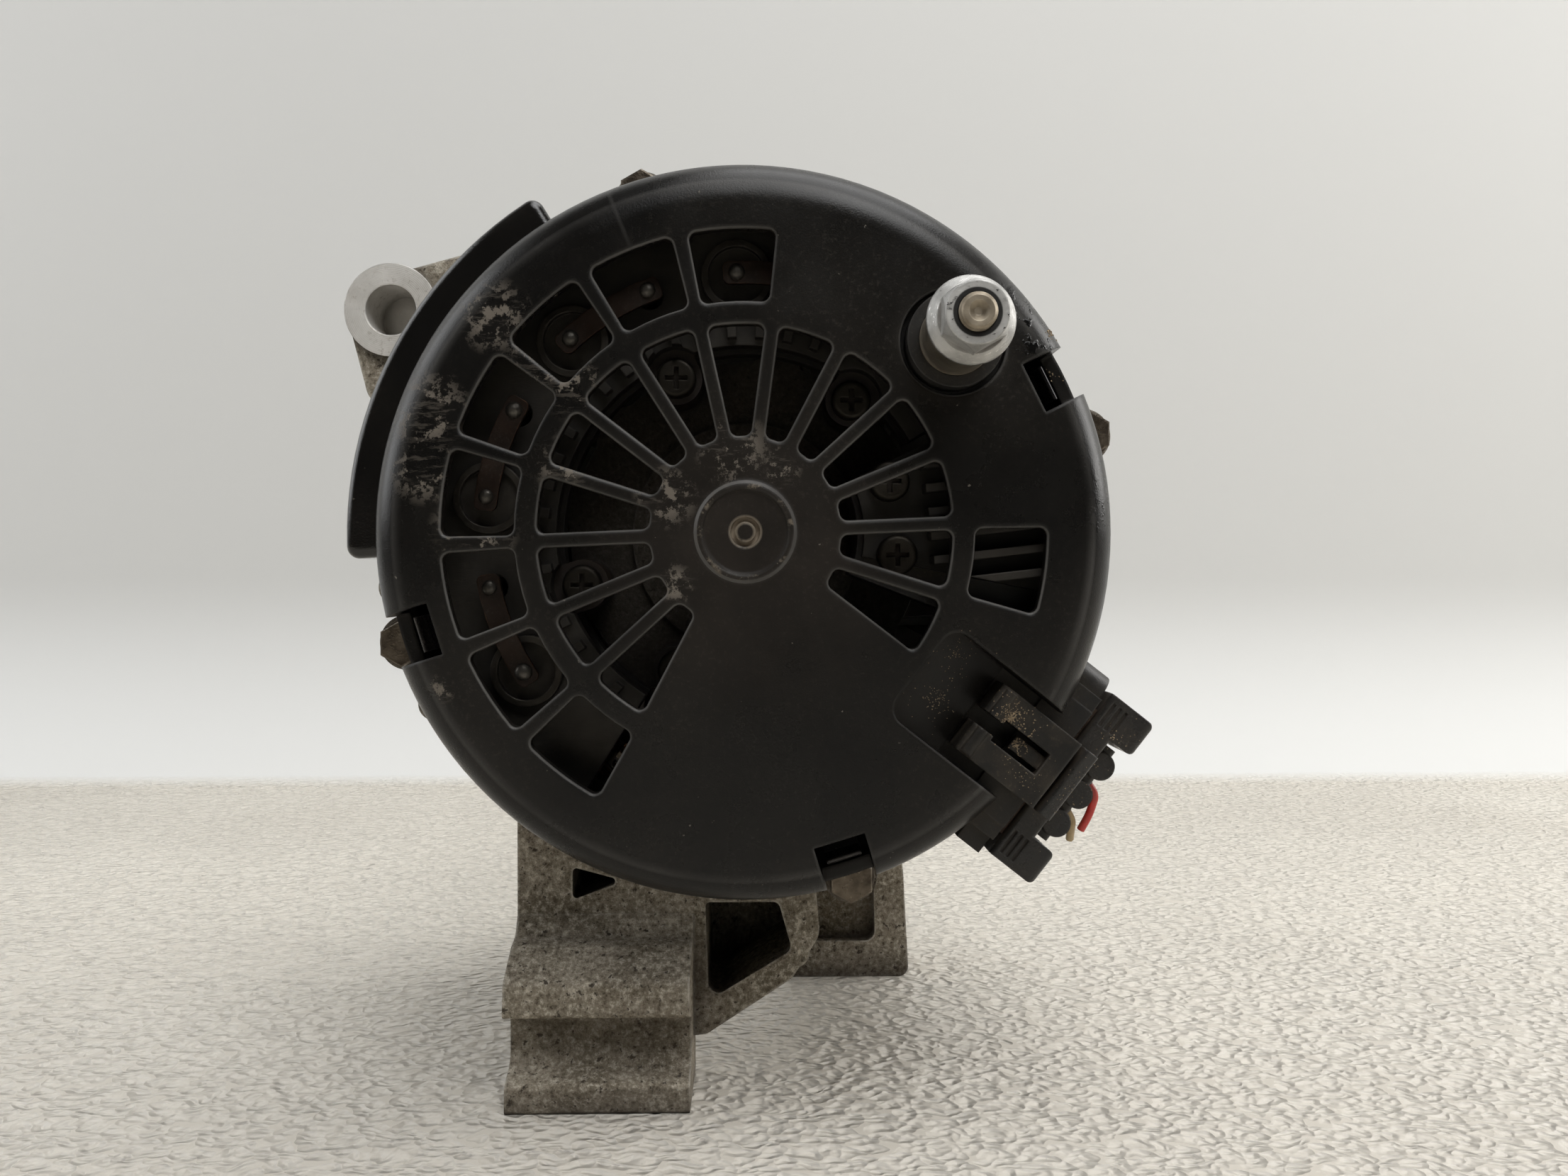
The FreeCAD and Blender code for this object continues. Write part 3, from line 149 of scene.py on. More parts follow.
def make_corner_dirt():
    tree, given, result = new_effect(
        "corner_dirt", {"Reach": 0.004, "Amount": 1.0, "Patch Scale": 90.0}, {"Mask": "Float"})
    hidden = node(tree, "AmbientOcclusion", samples=4)
    link(tree, given.outputs["Reach"], hidden.inputs["Distance"])
    corner = ramp(tree, hidden.outputs["AO"], 0.95, 0.35)
    patches = ramp(tree, noise(tree, object_place(tree), given.outputs["Patch Scale"], 6.0), 0.3, 0.7)
    spread = maths(tree, "MULTIPLY", corner, maths(tree, "ADD", patches, 0.35))
    link(tree, maths(tree, "MULTIPLY", spread, given.outputs["Amount"], clamp=True), result.inputs["Mask"])
    return tree


def make_settled_dust():
    tree, given, result = new_effect(
        "settled_dust", {"Amount": 0.5, "Speck Scale": 1500.0, "Cloud Scale": 40.0}, {"Mask": "Float"})
    place = object_place(tree)
    cloud = ramp(tree, noise(tree, place, given.outputs["Cloud Scale"], 5.0), 0.42, 0.68)
    specks = ramp(tree, noise(tree, place, given.outputs["Speck Scale"], 2.0, 0.7), 0.56, 0.70)
    thin = maths(tree, "MULTIPLY", cloud, 0.55)
    both = maths(tree, "ADD", thin, maths(tree, "MULTIPLY", specks, maths(tree, "ADD", cloud, 0.25)))
    link(tree, maths(tree, "MULTIPLY", both, given.outputs["Amount"], clamp=True), result.inputs["Mask"])
    return tree


def make_surface_grain():
    tree, given, result = new_effect(
        "surface_grain", {"Fine Scale": 2500.0, "Coarse Scale": 400.0, "Coarse Share": 0.5},
        {"Height": "Float"})
    place = object_place(tree)
    fine = noise(tree, place, given.outputs["Fine Scale"], 2.0)
    coarse = noise(tree, place, given.outputs["Coarse Scale"], 4.0)
    both = maths(tree, "ADD", fine, maths(tree, "MULTIPLY", coarse, given.outputs["Coarse Share"]))
    link(tree, both, result.inputs["Height"])
    return tree


effects = {
    "edge_wear": make_edge_wear(), "corner_dirt": make_corner_dirt(),
    "settled_dust": make_settled_dust(), "surface_grain": make_surface_grain(),
}


def effect(tree, name, **inputs):
    made = node(tree, "Group")
    made.node_tree = effects[name]
    return feed(tree, made, **inputs)


def mix(tree, factor, low, high):
    made = node(tree, "Mix", data_type="RGBA")
    for socket, value in ((made.inputs[0], factor), (made.inputs[6], low), (made.inputs[7], high)):
        if isinstance(value, bpy.types.NodeSocket):
            link(tree, value, socket)
        elif isinstance(value, (int, float)):
            socket.default_value = value
        else:
            socket.default_value = (*value, 1.0)
    return made.outputs[2]


class Finish:
    """One material being laid up: a base, then wear, dirt and dust over it."""

    def __init__(self, name, tones, blotch_scale, gloss, metal=0.0, **shader):
        self.material = bpy.data.materials.new(name)
        self.material.use_nodes = True
        self.tree = self.material.node_tree
        self.shader = self.tree.nodes["Principled BSDF"]
        self.place = object_place(self.tree)
        blotches = self.noise(blotch_scale, 6.0)
        spread = self.ramp(blotches, 0.35, 0.65)
        self.colour = mix(self.tree, spread, *tones)
        self.rough = self.ramp(self.noise(blotch_scale * 2.3), 0.3, 0.7, *gloss)
        self.metal = metal
        self.normal = None
        for label, value in shader.items():
            self.shader.inputs[label.replace("_", " ")].default_value = value

    def noise(self, scale, detail=4.0, roughness=0.55, place=None):
        return noise(self.tree, place or self.place, scale, detail, roughness)

    def ramp(self, value, low, high, out_low=0.0, out_high=1.0):
        return ramp(self.tree, value, low, high, out_low, out_high)

    def maths(self, operation, a, b=None):
        return maths(self.tree, operation, a, b)

    def times(self, a, b):
        return maths(self.tree, "MULTIPLY", a, b)

    def vector(self, operation, a, *settings):
        made = node(self.tree, "VectorMath", operation=operation)
        link(self.tree, a, made.inputs[0])
        for socket, value in zip(list(made.inputs)[1:], settings):
            if isinstance(value, bpy.types.NodeSocket):
                link(self.tree, value, socket)
            else:
                socket.default_value = value
        return made.outputs["Value" if operation in ("LENGTH", "DOT_PRODUCT") else "Vector"]

    def from_line(self, x=0.0, z=0.0):
        """How far a point is from a line that runs along the shaft's direction."""
        return self.vector("LENGTH", self.vector("MULTIPLY_ADD", self.place, (1, 0, 1), (-x, 0, -z)))

    def coordinate(self, axis, place=None):
        made = node(self.tree, "SeparateXYZ")
        link(self.tree, place or self.place, made.inputs[0])
        return made.outputs[axis]

    def stretched(self, scale, turn=(0.0, 0.0, 0.0), place=None):
        made = node(self.tree, "Mapping")
        return feed(self.tree, made, Vector=place or self.place, Rotation=turn, Scale=scale).outputs[0]

    def stripes(self, pitch, distortion, detail=2.0):
        """Fine lines across the shaft's direction, one to each pitch."""
        made = node(self.tree, "TexWave", wave_type="BANDS", bands_direction="Y", wave_profile="SIN")
        feed(self.tree, made, Vector=self.place, Scale=math.pi / (10 * pitch),
             Distortion=distortion, Detail=detail)
        return made.outputs["Fac"]

    def tint(self, mask, colour, rough=None, metal=None):
        self.colour = mix(self.tree, mask, self.colour, colour)
        if rough is not None:
            self.rough = self.blend(mask, self.rough, rough)
        if metal is not None:
            self.metal = self.blend(mask, self.metal, metal)
        return self

    def blend(self, mask, low, high):
        made = node(self.tree, "Mix", data_type="FLOAT")
        for socket, value in ((made.inputs[0], mask), (made.inputs[2], low), (made.inputs[3], high)):
            if isinstance(value, bpy.types.NodeSocket):
                link(self.tree, value, socket)
            else:
                socket.default_value = value
        return made.outputs[0]

    def wear(self, radius, amount, colour, rough, metal, patch=300.0):
        made = effect(self.tree, "edge_wear", Radius=radius, Amount=amount, Patch_Scale=patch)
        self.normal = made.outputs["Normal"]
        return self.tint(made.outputs["Mask"], colour, rough, metal)

    def dirt(self, reach, amount, colour, patch=90.0):
        made = effect(self.tree, "corner_dirt", Reach=reach, Amount=amount, Patch_Scale=patch)
        return self.tint(made.outputs["Mask"], colour, 0.85, 0.0)

    def dust(self, amount, colour, specks=1500.0, clouds=40.0):
        made = effect(self.tree, "settled_dust", Amount=amount, Speck_Scale=specks, Cloud_Scale=clouds)
        return self.tint(made.outputs["Mask"], colour, 0.9, 0.0)

    def grain(self, fine, coarse, share, depth, strength=0.5):
        made = effect(self.tree, "surface_grain", Fine_Scale=fine, Coarse_Scale=coarse, Coarse_Share=share)
        return self.bump(made.outputs["Height"], depth, strength)

    def bump(self, height, depth, strength=0.5):
        made = node(self.tree, "Bump")
        feed(self.tree, made, Height=height, Distance=depth, Strength=strength)
        if self.normal is not None:
            link(self.tree, self.normal, made.inputs["Normal"])
        self.normal = made.outputs["Normal"]
        return self

    def done(self):
        link(self.tree, self.colour, self.shader.inputs["Base Color"])
        link(self.tree, self.rough, self.shader.inputs["Roughness"])
        if isinstance(self.metal, bpy.types.NodeSocket):
            link(self.tree, self.metal, self.shader.inputs["Metallic"])
        else:
            self.shader.inputs["Metallic"].default_value = self.metal
        if self.normal is not None:
            link(self.tree, self.normal, self.shader.inputs["Normal"])
        return self.material


def coat(names, material):
    for name in names:
        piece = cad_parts[name]
        piece.data.materials.clear()
        piece.data.materials.append(material)


road_dirt = (0.085, 0.062, 0.042)
pale_dust = (0.42, 0.34, 0.24)
cast = Finish(
    "cast_aluminium_finish", ((0.26, 0.222, 0.160), (0.44, 0.385, 0.300)), 75.0, (0.46, 0.68), metal=0.45)
mottle = cast.noise(820.0, 8.0, 0.8)
cast.tint(cast.ramp(mottle, 0.50, 0.62), (0.72, 0.66, 0.55), 0.42, 0.6)
cast.tint(cast.ramp(mottle, 0.47, 0.36), (0.085, 0.064, 0.039), 0.75, 0.2)
pits = cast.ramp(cast.noise(760.0, 3.0, 0.6), 0.625, 0.67)
cast.tint(cast.times(pits, 0.9), (0.040, 0.027, 0.016), 0.85, 0.0)
cast.wear(0.0009, 1.0, (0.74, 0.70, 0.62), 0.36, 0.7, 220.0)
cast.dirt(0.010, 1.0, (0.045, 0.032, 0.021))
cast.dust(0.30, (0.16, 0.125, 0.09), 900.0, 60.0)
# Painted shade: the part of the casting under the cover, within 60 mm of the shaft, is darkened to stand
# for the shade inside the cover.
interior_shade_radius, interior_shade_y = 0.060, -0.093
painted_interior_shade = cast.times(cast.ramp(cast.from_line(), interior_shade_radius, interior_shade_radius - 0.002),
                       cast.ramp(cast.coordinate("Y"), interior_shade_y + 0.001, interior_shade_y - 0.001))
cast.tint(cast.times(painted_interior_shade, 0.85), (0.030, 0.024, 0.018), 0.7, 0.2)
cast.bump(cast.maths("SUBTRACT", mottle, cast.times(pits, 0.5)), 0.0008, 1.0)
cast.grain(1700.0, 420.0, 0.8, 0.00035, 0.7)
coat(["slip_ring_end_bracket", "drive_end_bracket"], cast.done())

# The ear's ring was faced by a cutter, so it carries fine turning marks round its hole.
ear_centre = (-0.0718, 0.0462)
ear_hole_radius = 0.0060
ear_ring_radius = 0.0102
faced = Finish(
    "machined_face_finish", ((0.62, 0.60, 0.56), (0.78, 0.76, 0.72)), 160.0, (0.40, 0.52), metal=0.35)
from_ear = faced.vector("SUBTRACT", faced.place, (ear_centre[0], 0, ear_centre[1]))
turned = node(faced.tree, "TexWave", wave_type="RINGS", rings_direction="Y", wave_profile="SIN")
feed(faced.tree, turned, Vector=from_ear, Scale=900.0, Distortion=0.3)
faced.dirt(0.003, 0.9, (0.10, 0.08, 0.055)).dust(0.35, (0.22, 0.18, 0.13), 1200.0, 150.0)
faced.wear(0.0004, 0.7, (0.80, 0.79, 0.77), 0.25, 1.0)
faced.bump(turned.outputs["Fac"], 0.00006, 0.4)
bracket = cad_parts["slip_ring_end_bracket"].data
bracket.materials.append(faced.done())
for face in bracket.polygons:
    corners = [bracket.vertices[i].co for i in face.vertices]
    reach = max(math.hypot(corner[0] - ear_centre[0], corner[2] - ear_centre[1]) for corner in corners)
    if reach < ear_hole_radius or (face.normal[1] < -0.99 and reach < ear_ring_radius):
        face.material_index = 1


# ---- Front bearing and its retainer
# A deep-groove ball bearing: ground rings and balls, a pressed cage and two rubber seals. A thin
# pressed plate with four cross-head screws holds it in the nose of the drive-end casting.
ground = Finish(
    "ground_steel_finish", ((0.62, 0.62, 0.63), (0.72, 0.72, 0.73)), 120.0, (0.10, 0.22), metal=1.0)
ground.dirt(0.003, 0.6, (0.12, 0.08, 0.05)).grain(4000.0, 900.0, 0.3, 0.00004, 0.3)
ground_steel = ground.done()

pressed = Finish(
    "pressed_steel_finish", ((0.40, 0.38, 0.35), (0.52, 0.50, 0.46)), 70.0, (0.34, 0.50), metal=0.95)
pressed.wear(0.0004, 0.6, (0.70, 0.68, 0.64), 0.28, 1.0)
pressed.dirt(0.003, 0.8, (0.10, 0.06, 0.035)).grain(2600.0, 700.0, 0.4, 0.00008, 0.4)
pressed_steel = pressed.done()

nitrile = Finish(
    "nitrile_rubber_finish", ((0.030, 0.022, 0.018), (0.050, 0.036, 0.030)), 90.0, (0.55, 0.72))
nitrile.dust(0.3, road_dirt).grain(3000.0, 600.0, 0.4, 0.00006, 0.4)
nitrile_rubber = nitrile.done()

# Painted shade: the zinc plating is painted near black, with darker corners, to stand for the shade under
# the cover where most of these screws sit.
screw_zinc = Finish(
    "screw_zinc_painted_shade_finish", ((0.028, 0.024, 0.019), (0.052, 0.046, 0.037)), 160.0, (0.36, 0.54), metal=0.85)
screw_zinc.wear(0.0004, 0.8, (0.14, 0.13, 0.11), 0.34, 1.0, 500.0)
screw_zinc.dirt(0.002, 1.0, (0.026, 0.017, 0.011)).grain(3000.0, 900.0, 0.5, 0.00009, 0.5)
screw_steel = screw_zinc.done()

coat(["front_bearing_outer_ring", "front_bearing_inner_ring", "rear_bearing_outer_ring",
      "rear_bearing_inner_ring", "front_bearing_balls", "rear_bearing_balls"], ground_steel)
coat(["front_bearing_cage", "rear_bearing_cage", "bearing_retainer"], pressed_steel)
coat(["front_bearing_seals", "rear_bearing_seals"], nitrile_rubber)
coat(["retainer_screws", "rectifier_screws", "regulator_screws", "brush_screws"], screw_steel)


# ---- Rotor
# A turned steel shaft carries two forged claw poles pressed over a nylon bobbin of copper wire.
# Each pole has a pressed fan spot-welded to it, and copper slip rings sit behind the rear bearing.
forged = Finish(
    "forged_steel_finish", ((0.16, 0.14, 0.13), (0.27, 0.24, 0.21)), 60.0, (0.36, 0.55), metal=0.9)
forged.wear(0.0008, 0.8, (0.52, 0.50, 0.47), 0.30, 1.0)
rust = forged.ramp(forged.noise(130.0, 8.0, 0.7), 0.56, 0.70)
forged.tint(rust, (0.17, 0.065, 0.028), 0.82, 0.1)
forged.grain(1500.0, 350.0, 0.7, 0.00012, 0.5)
coat(["rotor_shaft", "front_claw_pole", "rear_claw_pole"], forged.done())
coat(["front_fan", "rear_fan"], pressed_steel)

nylon = Finish("natural_nylon_finish", ((0.52, 0.45, 0.29), (0.64, 0.57, 0.40)), 80.0, (0.38, 0.52))
nylon.dirt(0.004, 0.7, (0.12, 0.08, 0.05)).grain(2500.0, 500.0, 0.4, 0.00006, 0.4)
coat(["coil_bobbin"], nylon.done())

wire_pitch = 0.0008
varnished = Finish(
    "varnished_copper_finish", ((0.36, 0.125, 0.045), (0.52, 0.21, 0.085)), 110.0, (0.22, 0.38),
    metal=0.85, Coat_Weight=0.5, Coat_Roughness=0.2)
varnished.dirt(0.003, 0.9, (0.07, 0.045, 0.03))
varnished.bump(varnished.stripes(wire_pitch, 0.3), 0.0003, 0.8)
coat(["field_coil"], varnished.done())

bright = Finish(
    "bright_copper_finish", ((0.50, 0.22, 0.11), (0.66, 0.32, 0.17)), 90.0, (0.18, 0.34), metal=1.0)
turning = bright.noise(3000.0, 2.0)
bright.dirt(0.002, 0.6, (0.05, 0.03, 0.02)).bump(turning, 0.00005, 0.4)
bright_copper = bright.done()
coat(["slip_rings"], bright_copper)


# ---- Pulley, washer, nut and spacer
# A steel six-rib pulley, phosphated dark, with the flanks of its grooves polished by the belt. A
# spring washer and a large hexagon nut clamp it against the spacer and the front bearing.
rib_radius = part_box("pulley")[1][0]
groove_depth = 0.0029
dark = Finish(
    "phosphated_steel_finish", ((0.035, 0.034, 0.034), (0.062, 0.060, 0.058)), 70.0, (0.38, 0.55),
    metal=0.6)
dark.wear(0.0007, 0.8, (0.45, 0.43, 0.40), 0.30, 1.0)
dark.grain(2200.0, 500.0, 0.4, 0.00007, 0.4)
from_shaft = dark.from_line()
low_groove = dark.ramp(from_shaft, rib_radius - groove_depth * 1.1, rib_radius - groove_depth)
below_tip = dark.ramp(from_shaft, rib_radius - 0.0001, rib_radius - 0.0006)
dark.tint(dark.times(low_groove, below_tip), (0.50, 0.49, 0.47), 0.24, 1.0)
coat(["pulley"], dark.done())
coat(["pulley_washer", "pulley_nut", "spacer_collar"], pressed_steel)


# ---- Stator core
# Some sixty rings of electrical sheet, stacked and held by weld runs across the outside. The cut
# edges show as fine lines round the core, with light rust between them.
sheet_pitch = 0.0005
stack = Finish(
    "stacked_sheet_finish", ((0.14, 0.125, 0.11), (0.25, 0.23, 0.20)), 55.0, (0.36, 0.55), metal=0.85)
edges = stack.stripes(sheet_pitch, 0.4, 1.0)
rust = stack.ramp(stack.noise(60.0, 8.0, 0.7), 0.50, 0.66)
stack.tint(rust, (0.15, 0.062, 0.03), 0.8, 0.1)
stack.tint(stack.ramp(edges, 0.25, 0.0), (0.03, 0.025, 0.02))
stack.bump(edges, 0.00012, 0.7)
coat(["stator_core"], stack.done())

core_low, core_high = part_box("stator_core")
core_radius = core_high[0]
weld_runs = 6
weld_half_width, weld_rise = 0.0016, 0.0006
weld_end_gap = 0.0042


def new_piece(name, body, material, mesh):
    piece = bpy.data.objects.new(name, mesh)
    bpy.context.scene.collection.objects.link(piece)
    mesh.materials.append(material)
    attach(piece, body)
    return piece


def shaded(mesh, angle=math.radians(40)):
    for face in mesh.polygons:
        face.use_smooth = True
    mesh.set_sharp_from_angle(angle=angle)
    return mesh


def mesh_of(build, name):
    work = bmesh.new()
    build(work)
    bmesh.ops.recalc_face_normals(work, faces=work.faces)
    mesh = bpy.data.meshes.new(name)
    work.to_mesh(mesh)
    work.free()
    return shaded(mesh)


def sweep(work, spine, sections):
    """Skin closed rings of points laid along a spine, and cap both ends."""
    rings = [[work.verts.new(spine[i] + offset) for offset in sections[i]] for i in range(len(spine))]
    for low, high in zip(rings, rings[1:]):
        for i in range(len(low)):
            work.faces.new((low[i - 1], low[i], high[i], high[i - 1]))
    work.faces.new(rings[0])
    work.faces.new(list(reversed(rings[-1])))


def weld_bead(work, angle, rng):
    """A ripple-faced run of weld, half sunk in the core."""
    out = Vector((math.cos(angle), 0, math.sin(angle)))
    side = Vector((-math.sin(angle), 0, math.cos(angle)))
    steps, sides = 60, 8
    length = core_high[1] - core_low[1] - 2 * weld_end_gap
    spine, sections = [], []
    for i in range(steps + 1):
        along = i / steps
        y = core_low[1] + weld_end_gap + length * along
        ripple = 1.0 + 0.12 * math.sin(i * 2.1) + rng.uniform(-0.05, 0.05)
        taper = min(1.0, 6 * along + 0.3, 6 * (1 - along) + 0.3)
        spine.append(out * (core_radius + 0.0001) + Vector((0, y, 0)))
        ring = []
        for k in range(sides):
            turn = 2 * math.pi * k / sides
            reach = side * math.cos(turn) * weld_half_width + out * math.sin(turn) * weld_rise
            ring.append(reach * ripple * taper)
        sections.append(ring)
    sweep(work, spine, sections)


def weld_all(work):
    rng = random.Random(5)
    for run in range(weld_runs):
        weld_bead(work, math.radians(47 + 360 / weld_runs * run), rng)


new_piece("core_welds", "housing", pressed_steel, mesh_of(weld_all, "core_welds"))


# ---- Stator winding
# Enamelled copper wire in 36 slots. Each bundle leaves a slot near the bore, arches over the
# core's face and goes back in three slots further on, near the back, dipped in clear varnish.
slots_round = 36
slots_spanned = 3
strand_radius = 0.00055
wind_low, wind_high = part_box("stator_winding")
bore_layer = 0.0545
back_layer = 0.0572
strand_places = [(-0.0006, -0.0006), (0.0006, -0.0006), (-0.0006, 0.0006), (0.0006, 0.0006),
                 (0.0, 0.0017), (0.0, -0.0017)]
crown_gap = 0.0028


def arch(slot_number, face_y, end_y, radial, spread, rng):
    """Points of one strand from one slot to the other, as (x, y, z)."""
    pitch = 2 * math.pi / slots_round
    start = slot_number * pitch
    finish = start + slots_spanned * pitch
    side = 1 if end_y > face_y else -1
    crown = end_y - side * (crown_gap + spread)
    stops = [(0.0, 0.0, -0.0015), (0.02, 0.0, 0.003), (0.18, 0.1, 0.55), (0.42, 0.4, 1.0), (0.58, 0.6, 1.0),
             (0.82, 0.9, 0.55), (0.98, 1.0, 0.003), (1.0, 1.0, -0.0015)]
    points = []
    for along, across, rise in stops:
        angle = start + (finish - start) * along + spread / bore_layer * 0.6
        radius = bore_layer + (back_layer - bore_layer) * across + radial + rng.uniform(-0.0001, 0.0001)
        y = face_y + side * 0.001 + (crown - face_y) * max(rise, 0.0)
        points.append((radius * math.cos(angle), y, radius * math.sin(angle)))
    return points


def wire_bundle(name, radius, routes, sides=2):
    curve = bpy.data.curves.new(name, "CURVE")
    curve.dimensions = "3D"
    curve.bevel_depth = radius
    curve.bevel_resolution = sides
    curve.resolution_u = 3
    curve.use_fill_caps = True
    for points in routes:
        spline = curve.splines.new("NURBS")
        spline.points.add(len(points) - 1)
        for point, place in zip(spline.points, points):
            point.co = (*place, 1.0)
        spline.order_u = 3
        spline.use_endpoint_u = True
    holder = bpy.data.objects.new(name, curve)
    mesh = bpy.data.meshes.new_from_object(holder)
    bpy.data.objects.remove(holder)
    return shaded(mesh)


enamel = Finish("enamelled_wire_finish", ((0.40, 0.14, 0.05), (0.60, 0.26, 0.10)), 140.0, (0.20, 0.36),
                metal=0.8, Coat_Weight=0.6, Coat_Roughness=0.15)
enamel.dirt(0.004, 0.8, (0.055, 0.035, 0.022)).dust(0.35, road_dirt, 1200.0, 70.0)
enamel.grain(2500.0, 600.0, 0.5, 0.00006, 0.4)
enamelled_wire = enamel.done()

strand_random = random.Random(11)
strand_routes = []
for face_y, end_y in ((core_low[1], wind_low[1]), (core_high[1], wind_high[1])):
    for slot_number in range(slots_round):
        for radial, spread in strand_places:
            strand_routes.append(arch(slot_number, face_y, end_y, radial, spread, strand_random))
coil_ends = new_piece("coil_ends", "housing", enamelled_wire,
                      wire_bundle("coil_ends", strand_radius, strand_routes, 1))
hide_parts("stator_winding")

paper = Finish("slot_paper_finish", ((0.60, 0.54, 0.40), (0.72, 0.67, 0.54)), 150.0, (0.6, 0.8))
paper.dirt(0.003, 0.8, (0.10, 0.07, 0.04)).grain(1800.0, 500.0, 0.6, 0.00008, 0.5)
coat(["slot_liners"], paper.done())


# ---- Through bolts
# Four long flanged bolts clamp the castings on the core. Their heads stand at the rear, where oil
# and road film have turned the plating brown.
greasy = Finish(
    "greasy_bolt_finish", ((0.050, 0.038, 0.027), (0.17, 0.14, 0.105)), 320.0, (0.22, 0.46), metal=0.75)
greasy.wear(0.0006, 0.8, (0.40, 0.36, 0.30), 0.28, 1.0, 420.0)
greasy.dirt(0.003, 1.0, (0.030, 0.021, 0.014)).grain(2400.0, 700.0, 0.6, 0.00014, 0.6)
coat(["through_bolts"], greasy.done())


# ---- Rectifier
# Two aluminium heat sinks on either side of a brown phenolic carrier. Eight plated diode cups are
# pressed in, and copper straps are soldered to their leads in pairs.
# Painted shade: the aluminium heat sinks lie under the cover, so they are painted near black, and nearly
# black again in their corners, to stand for the shade there.
plate = Finish(
    "heat_sink_painted_shade_finish", ((0.030, 0.027, 0.023), (0.058, 0.053, 0.046)), 65.0, (0.34, 0.52), metal=0.85)
plate.wear(0.0004, 0.3, (0.085, 0.080, 0.070), 0.4, 0.8)
plate.dirt(0.009, 1.0, (0.010, 0.008, 0.006)).dust(0.4, (0.034, 0.027, 0.019), 1000.0, 80.0)
drawn = plate.stretched((1.0, 1.0, 14.0))
plate.bump(plate.noise(900.0, 3.0, place=drawn), 0.00006, 0.5)
coat(["negative_heat_sink", "positive_heat_sink", "regulator_heat_sink"], plate.done())

phenolic = Finish("phenolic_finish", ((0.016, 0.009, 0.006), (0.027, 0.015, 0.009)), 60.0, (0.40, 0.60))
phenolic.dirt(0.005, 0.7, (0.018, 0.014, 0.010)).dust(0.3, (0.034, 0.027, 0.019))
phenolic.grain(2000.0, 450.0, 0.5, 0.00008, 0.5)
coat(["rectifier_carrier"], phenolic.done())

# Painted shade: the diode cups and terminal blades sit under the cover, so their plating is painted near
# black to stand for the shade there.
plated = Finish(
    "diode_plating_painted_shade_finish", ((0.032, 0.028, 0.023), (0.062, 0.056, 0.047)), 200.0, (0.30, 0.46), metal=0.9)
plated.wear(0.0004, 0.5, (0.17, 0.16, 0.14), 0.28, 0.9, 500.0)
plated.dirt(0.004, 1.0, (0.012, 0.009, 0.006)).dust(0.4, (0.040, 0.031, 0.022), 1400.0, 120.0)
plated.grain(2500.0, 700.0, 0.5, 0.00007, 0.4)
plated_metal = plated.done()
coat(["negative_diodes", "positive_diodes"], plated_metal)

# The straps' copper is painted near black: partly tarnish, partly painted shade for their place under the
# cover.
tarnished_and_shaded = Finish(
    "tarnished_strap_painted_shade_finish", ((0.016, 0.010, 0.007), (0.032, 0.018, 0.012)), 160.0, (0.36, 0.56),
    metal=0.7)
tarnished_and_shaded.wear(0.0003, 0.7, (0.20, 0.10, 0.055), 0.3, 1.0, 500.0)
tarnished_and_shaded.dirt(0.003, 0.9, (0.014, 0.010, 0.007)).dust(0.4, (0.040, 0.031, 0.022), 1400.0, 110.0)
coat(["phase_straps"], tarnished_and_shaded.grain(2600.0, 700.0, 0.5, 0.00007, 0.4).done())

diode_circle = 0.046
diode_step = 20.0
first_diode = 72.0
diode_count = 8
strap_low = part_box("phase_straps")[0]


def solder_blobs(work):
    rng = random.Random(3)
    for i in range(diode_count):
        angle = math.radians(first_diode + diode_step * i)
        on_circle = (diode_circle * math.cos(angle), diode_circle * math.sin(angle))
        centre = Vector((on_circle[0], strap_low[1] - 0.0001, on_circle[1]))
        size = rng.uniform(0.0013, 0.0016)
        squat = Matrix.Translation(centre) @ Matrix.Diagonal((size, size * 0.62, size, 1.0))
        bmesh.ops.create_uvsphere(work, u_segments=16, v_segments=10, radius=1.0, matrix=squat)


solder = Finish(
    "solder_finish", ((0.070, 0.065, 0.056), (0.13, 0.12, 0.105)), 300.0, (0.34, 0.50), metal=0.8)
solder.dirt(0.002, 0.8, (0.030, 0.023, 0.016)).grain(2500.0, 900.0, 0.6, 0.00009, 0.5)
new_piece("solder_joints", "housing", solder.done(), mesh_of(solder_blobs, "solder_joints"))


# ---- Regulator, socket and brush gear
# The regulator is potted in a black moulding that carries the plug's socket and three tinned
# blades. Beside it a moulded holder guides two carbon brushes, each pushed up by a wound spring.
moulded = Finish(
    "moulded_black_finish", ((0.010, 0.0098, 0.0095), (0.018, 0.017, 0.016)), 70.0, (0.26, 0.46),
    Specular_IOR_Level=0.35)
moulded.wear(0.0005, 0.7, (0.075, 0.070, 0.064), 0.45, 0.0)
moulded.dirt(0.004, 0.5, (0.050, 0.038, 0.026)).dust(0.22, (0.11, 0.088, 0.062), 1300.0, 90.0)
moulded.grain(2400.0, 500.0, 0.5, 0.00007, 0.45)
moulded_black = moulded.done()
coat(["voltage_regulator", "brush_holder", "slip_ring_sleeve"], moulded_black)
coat(["terminal_pins"], plated_metal)

carbon = Finish(
    "carbon_brush_finish", ((0.022, 0.021, 0.020), (0.055, 0.050, 0.046)), 260.0, (0.38, 0.55), metal=0.35)
glitter = carbon.ramp(carbon.noise(3200.0, 1.0), 0.62, 0.70)
carbon.tint(glitter, (0.45, 0.24, 0.14), 0.35, 0.9).grain(2600.0, 800.0, 0.5, 0.00008, 0.5)
coat(["inner_brush", "outer_brush"], carbon.done())

spring_wire_radius = 0.0004
spring_coil_radius = 0.0017
spring_turns = 8
lead_radius, lead_wander = 0.0005, 0.0005


def spiral(middle, radius, bottom, rise, turns, steps):
    points = []
    for i in range(steps + 1):
        turn = 2 * math.pi * turns * i / steps
        points.append((middle[0] + radius * math.cos(turn), middle[1] + radius * math.sin(turn),
                       bottom + rise * i / steps))
    return points


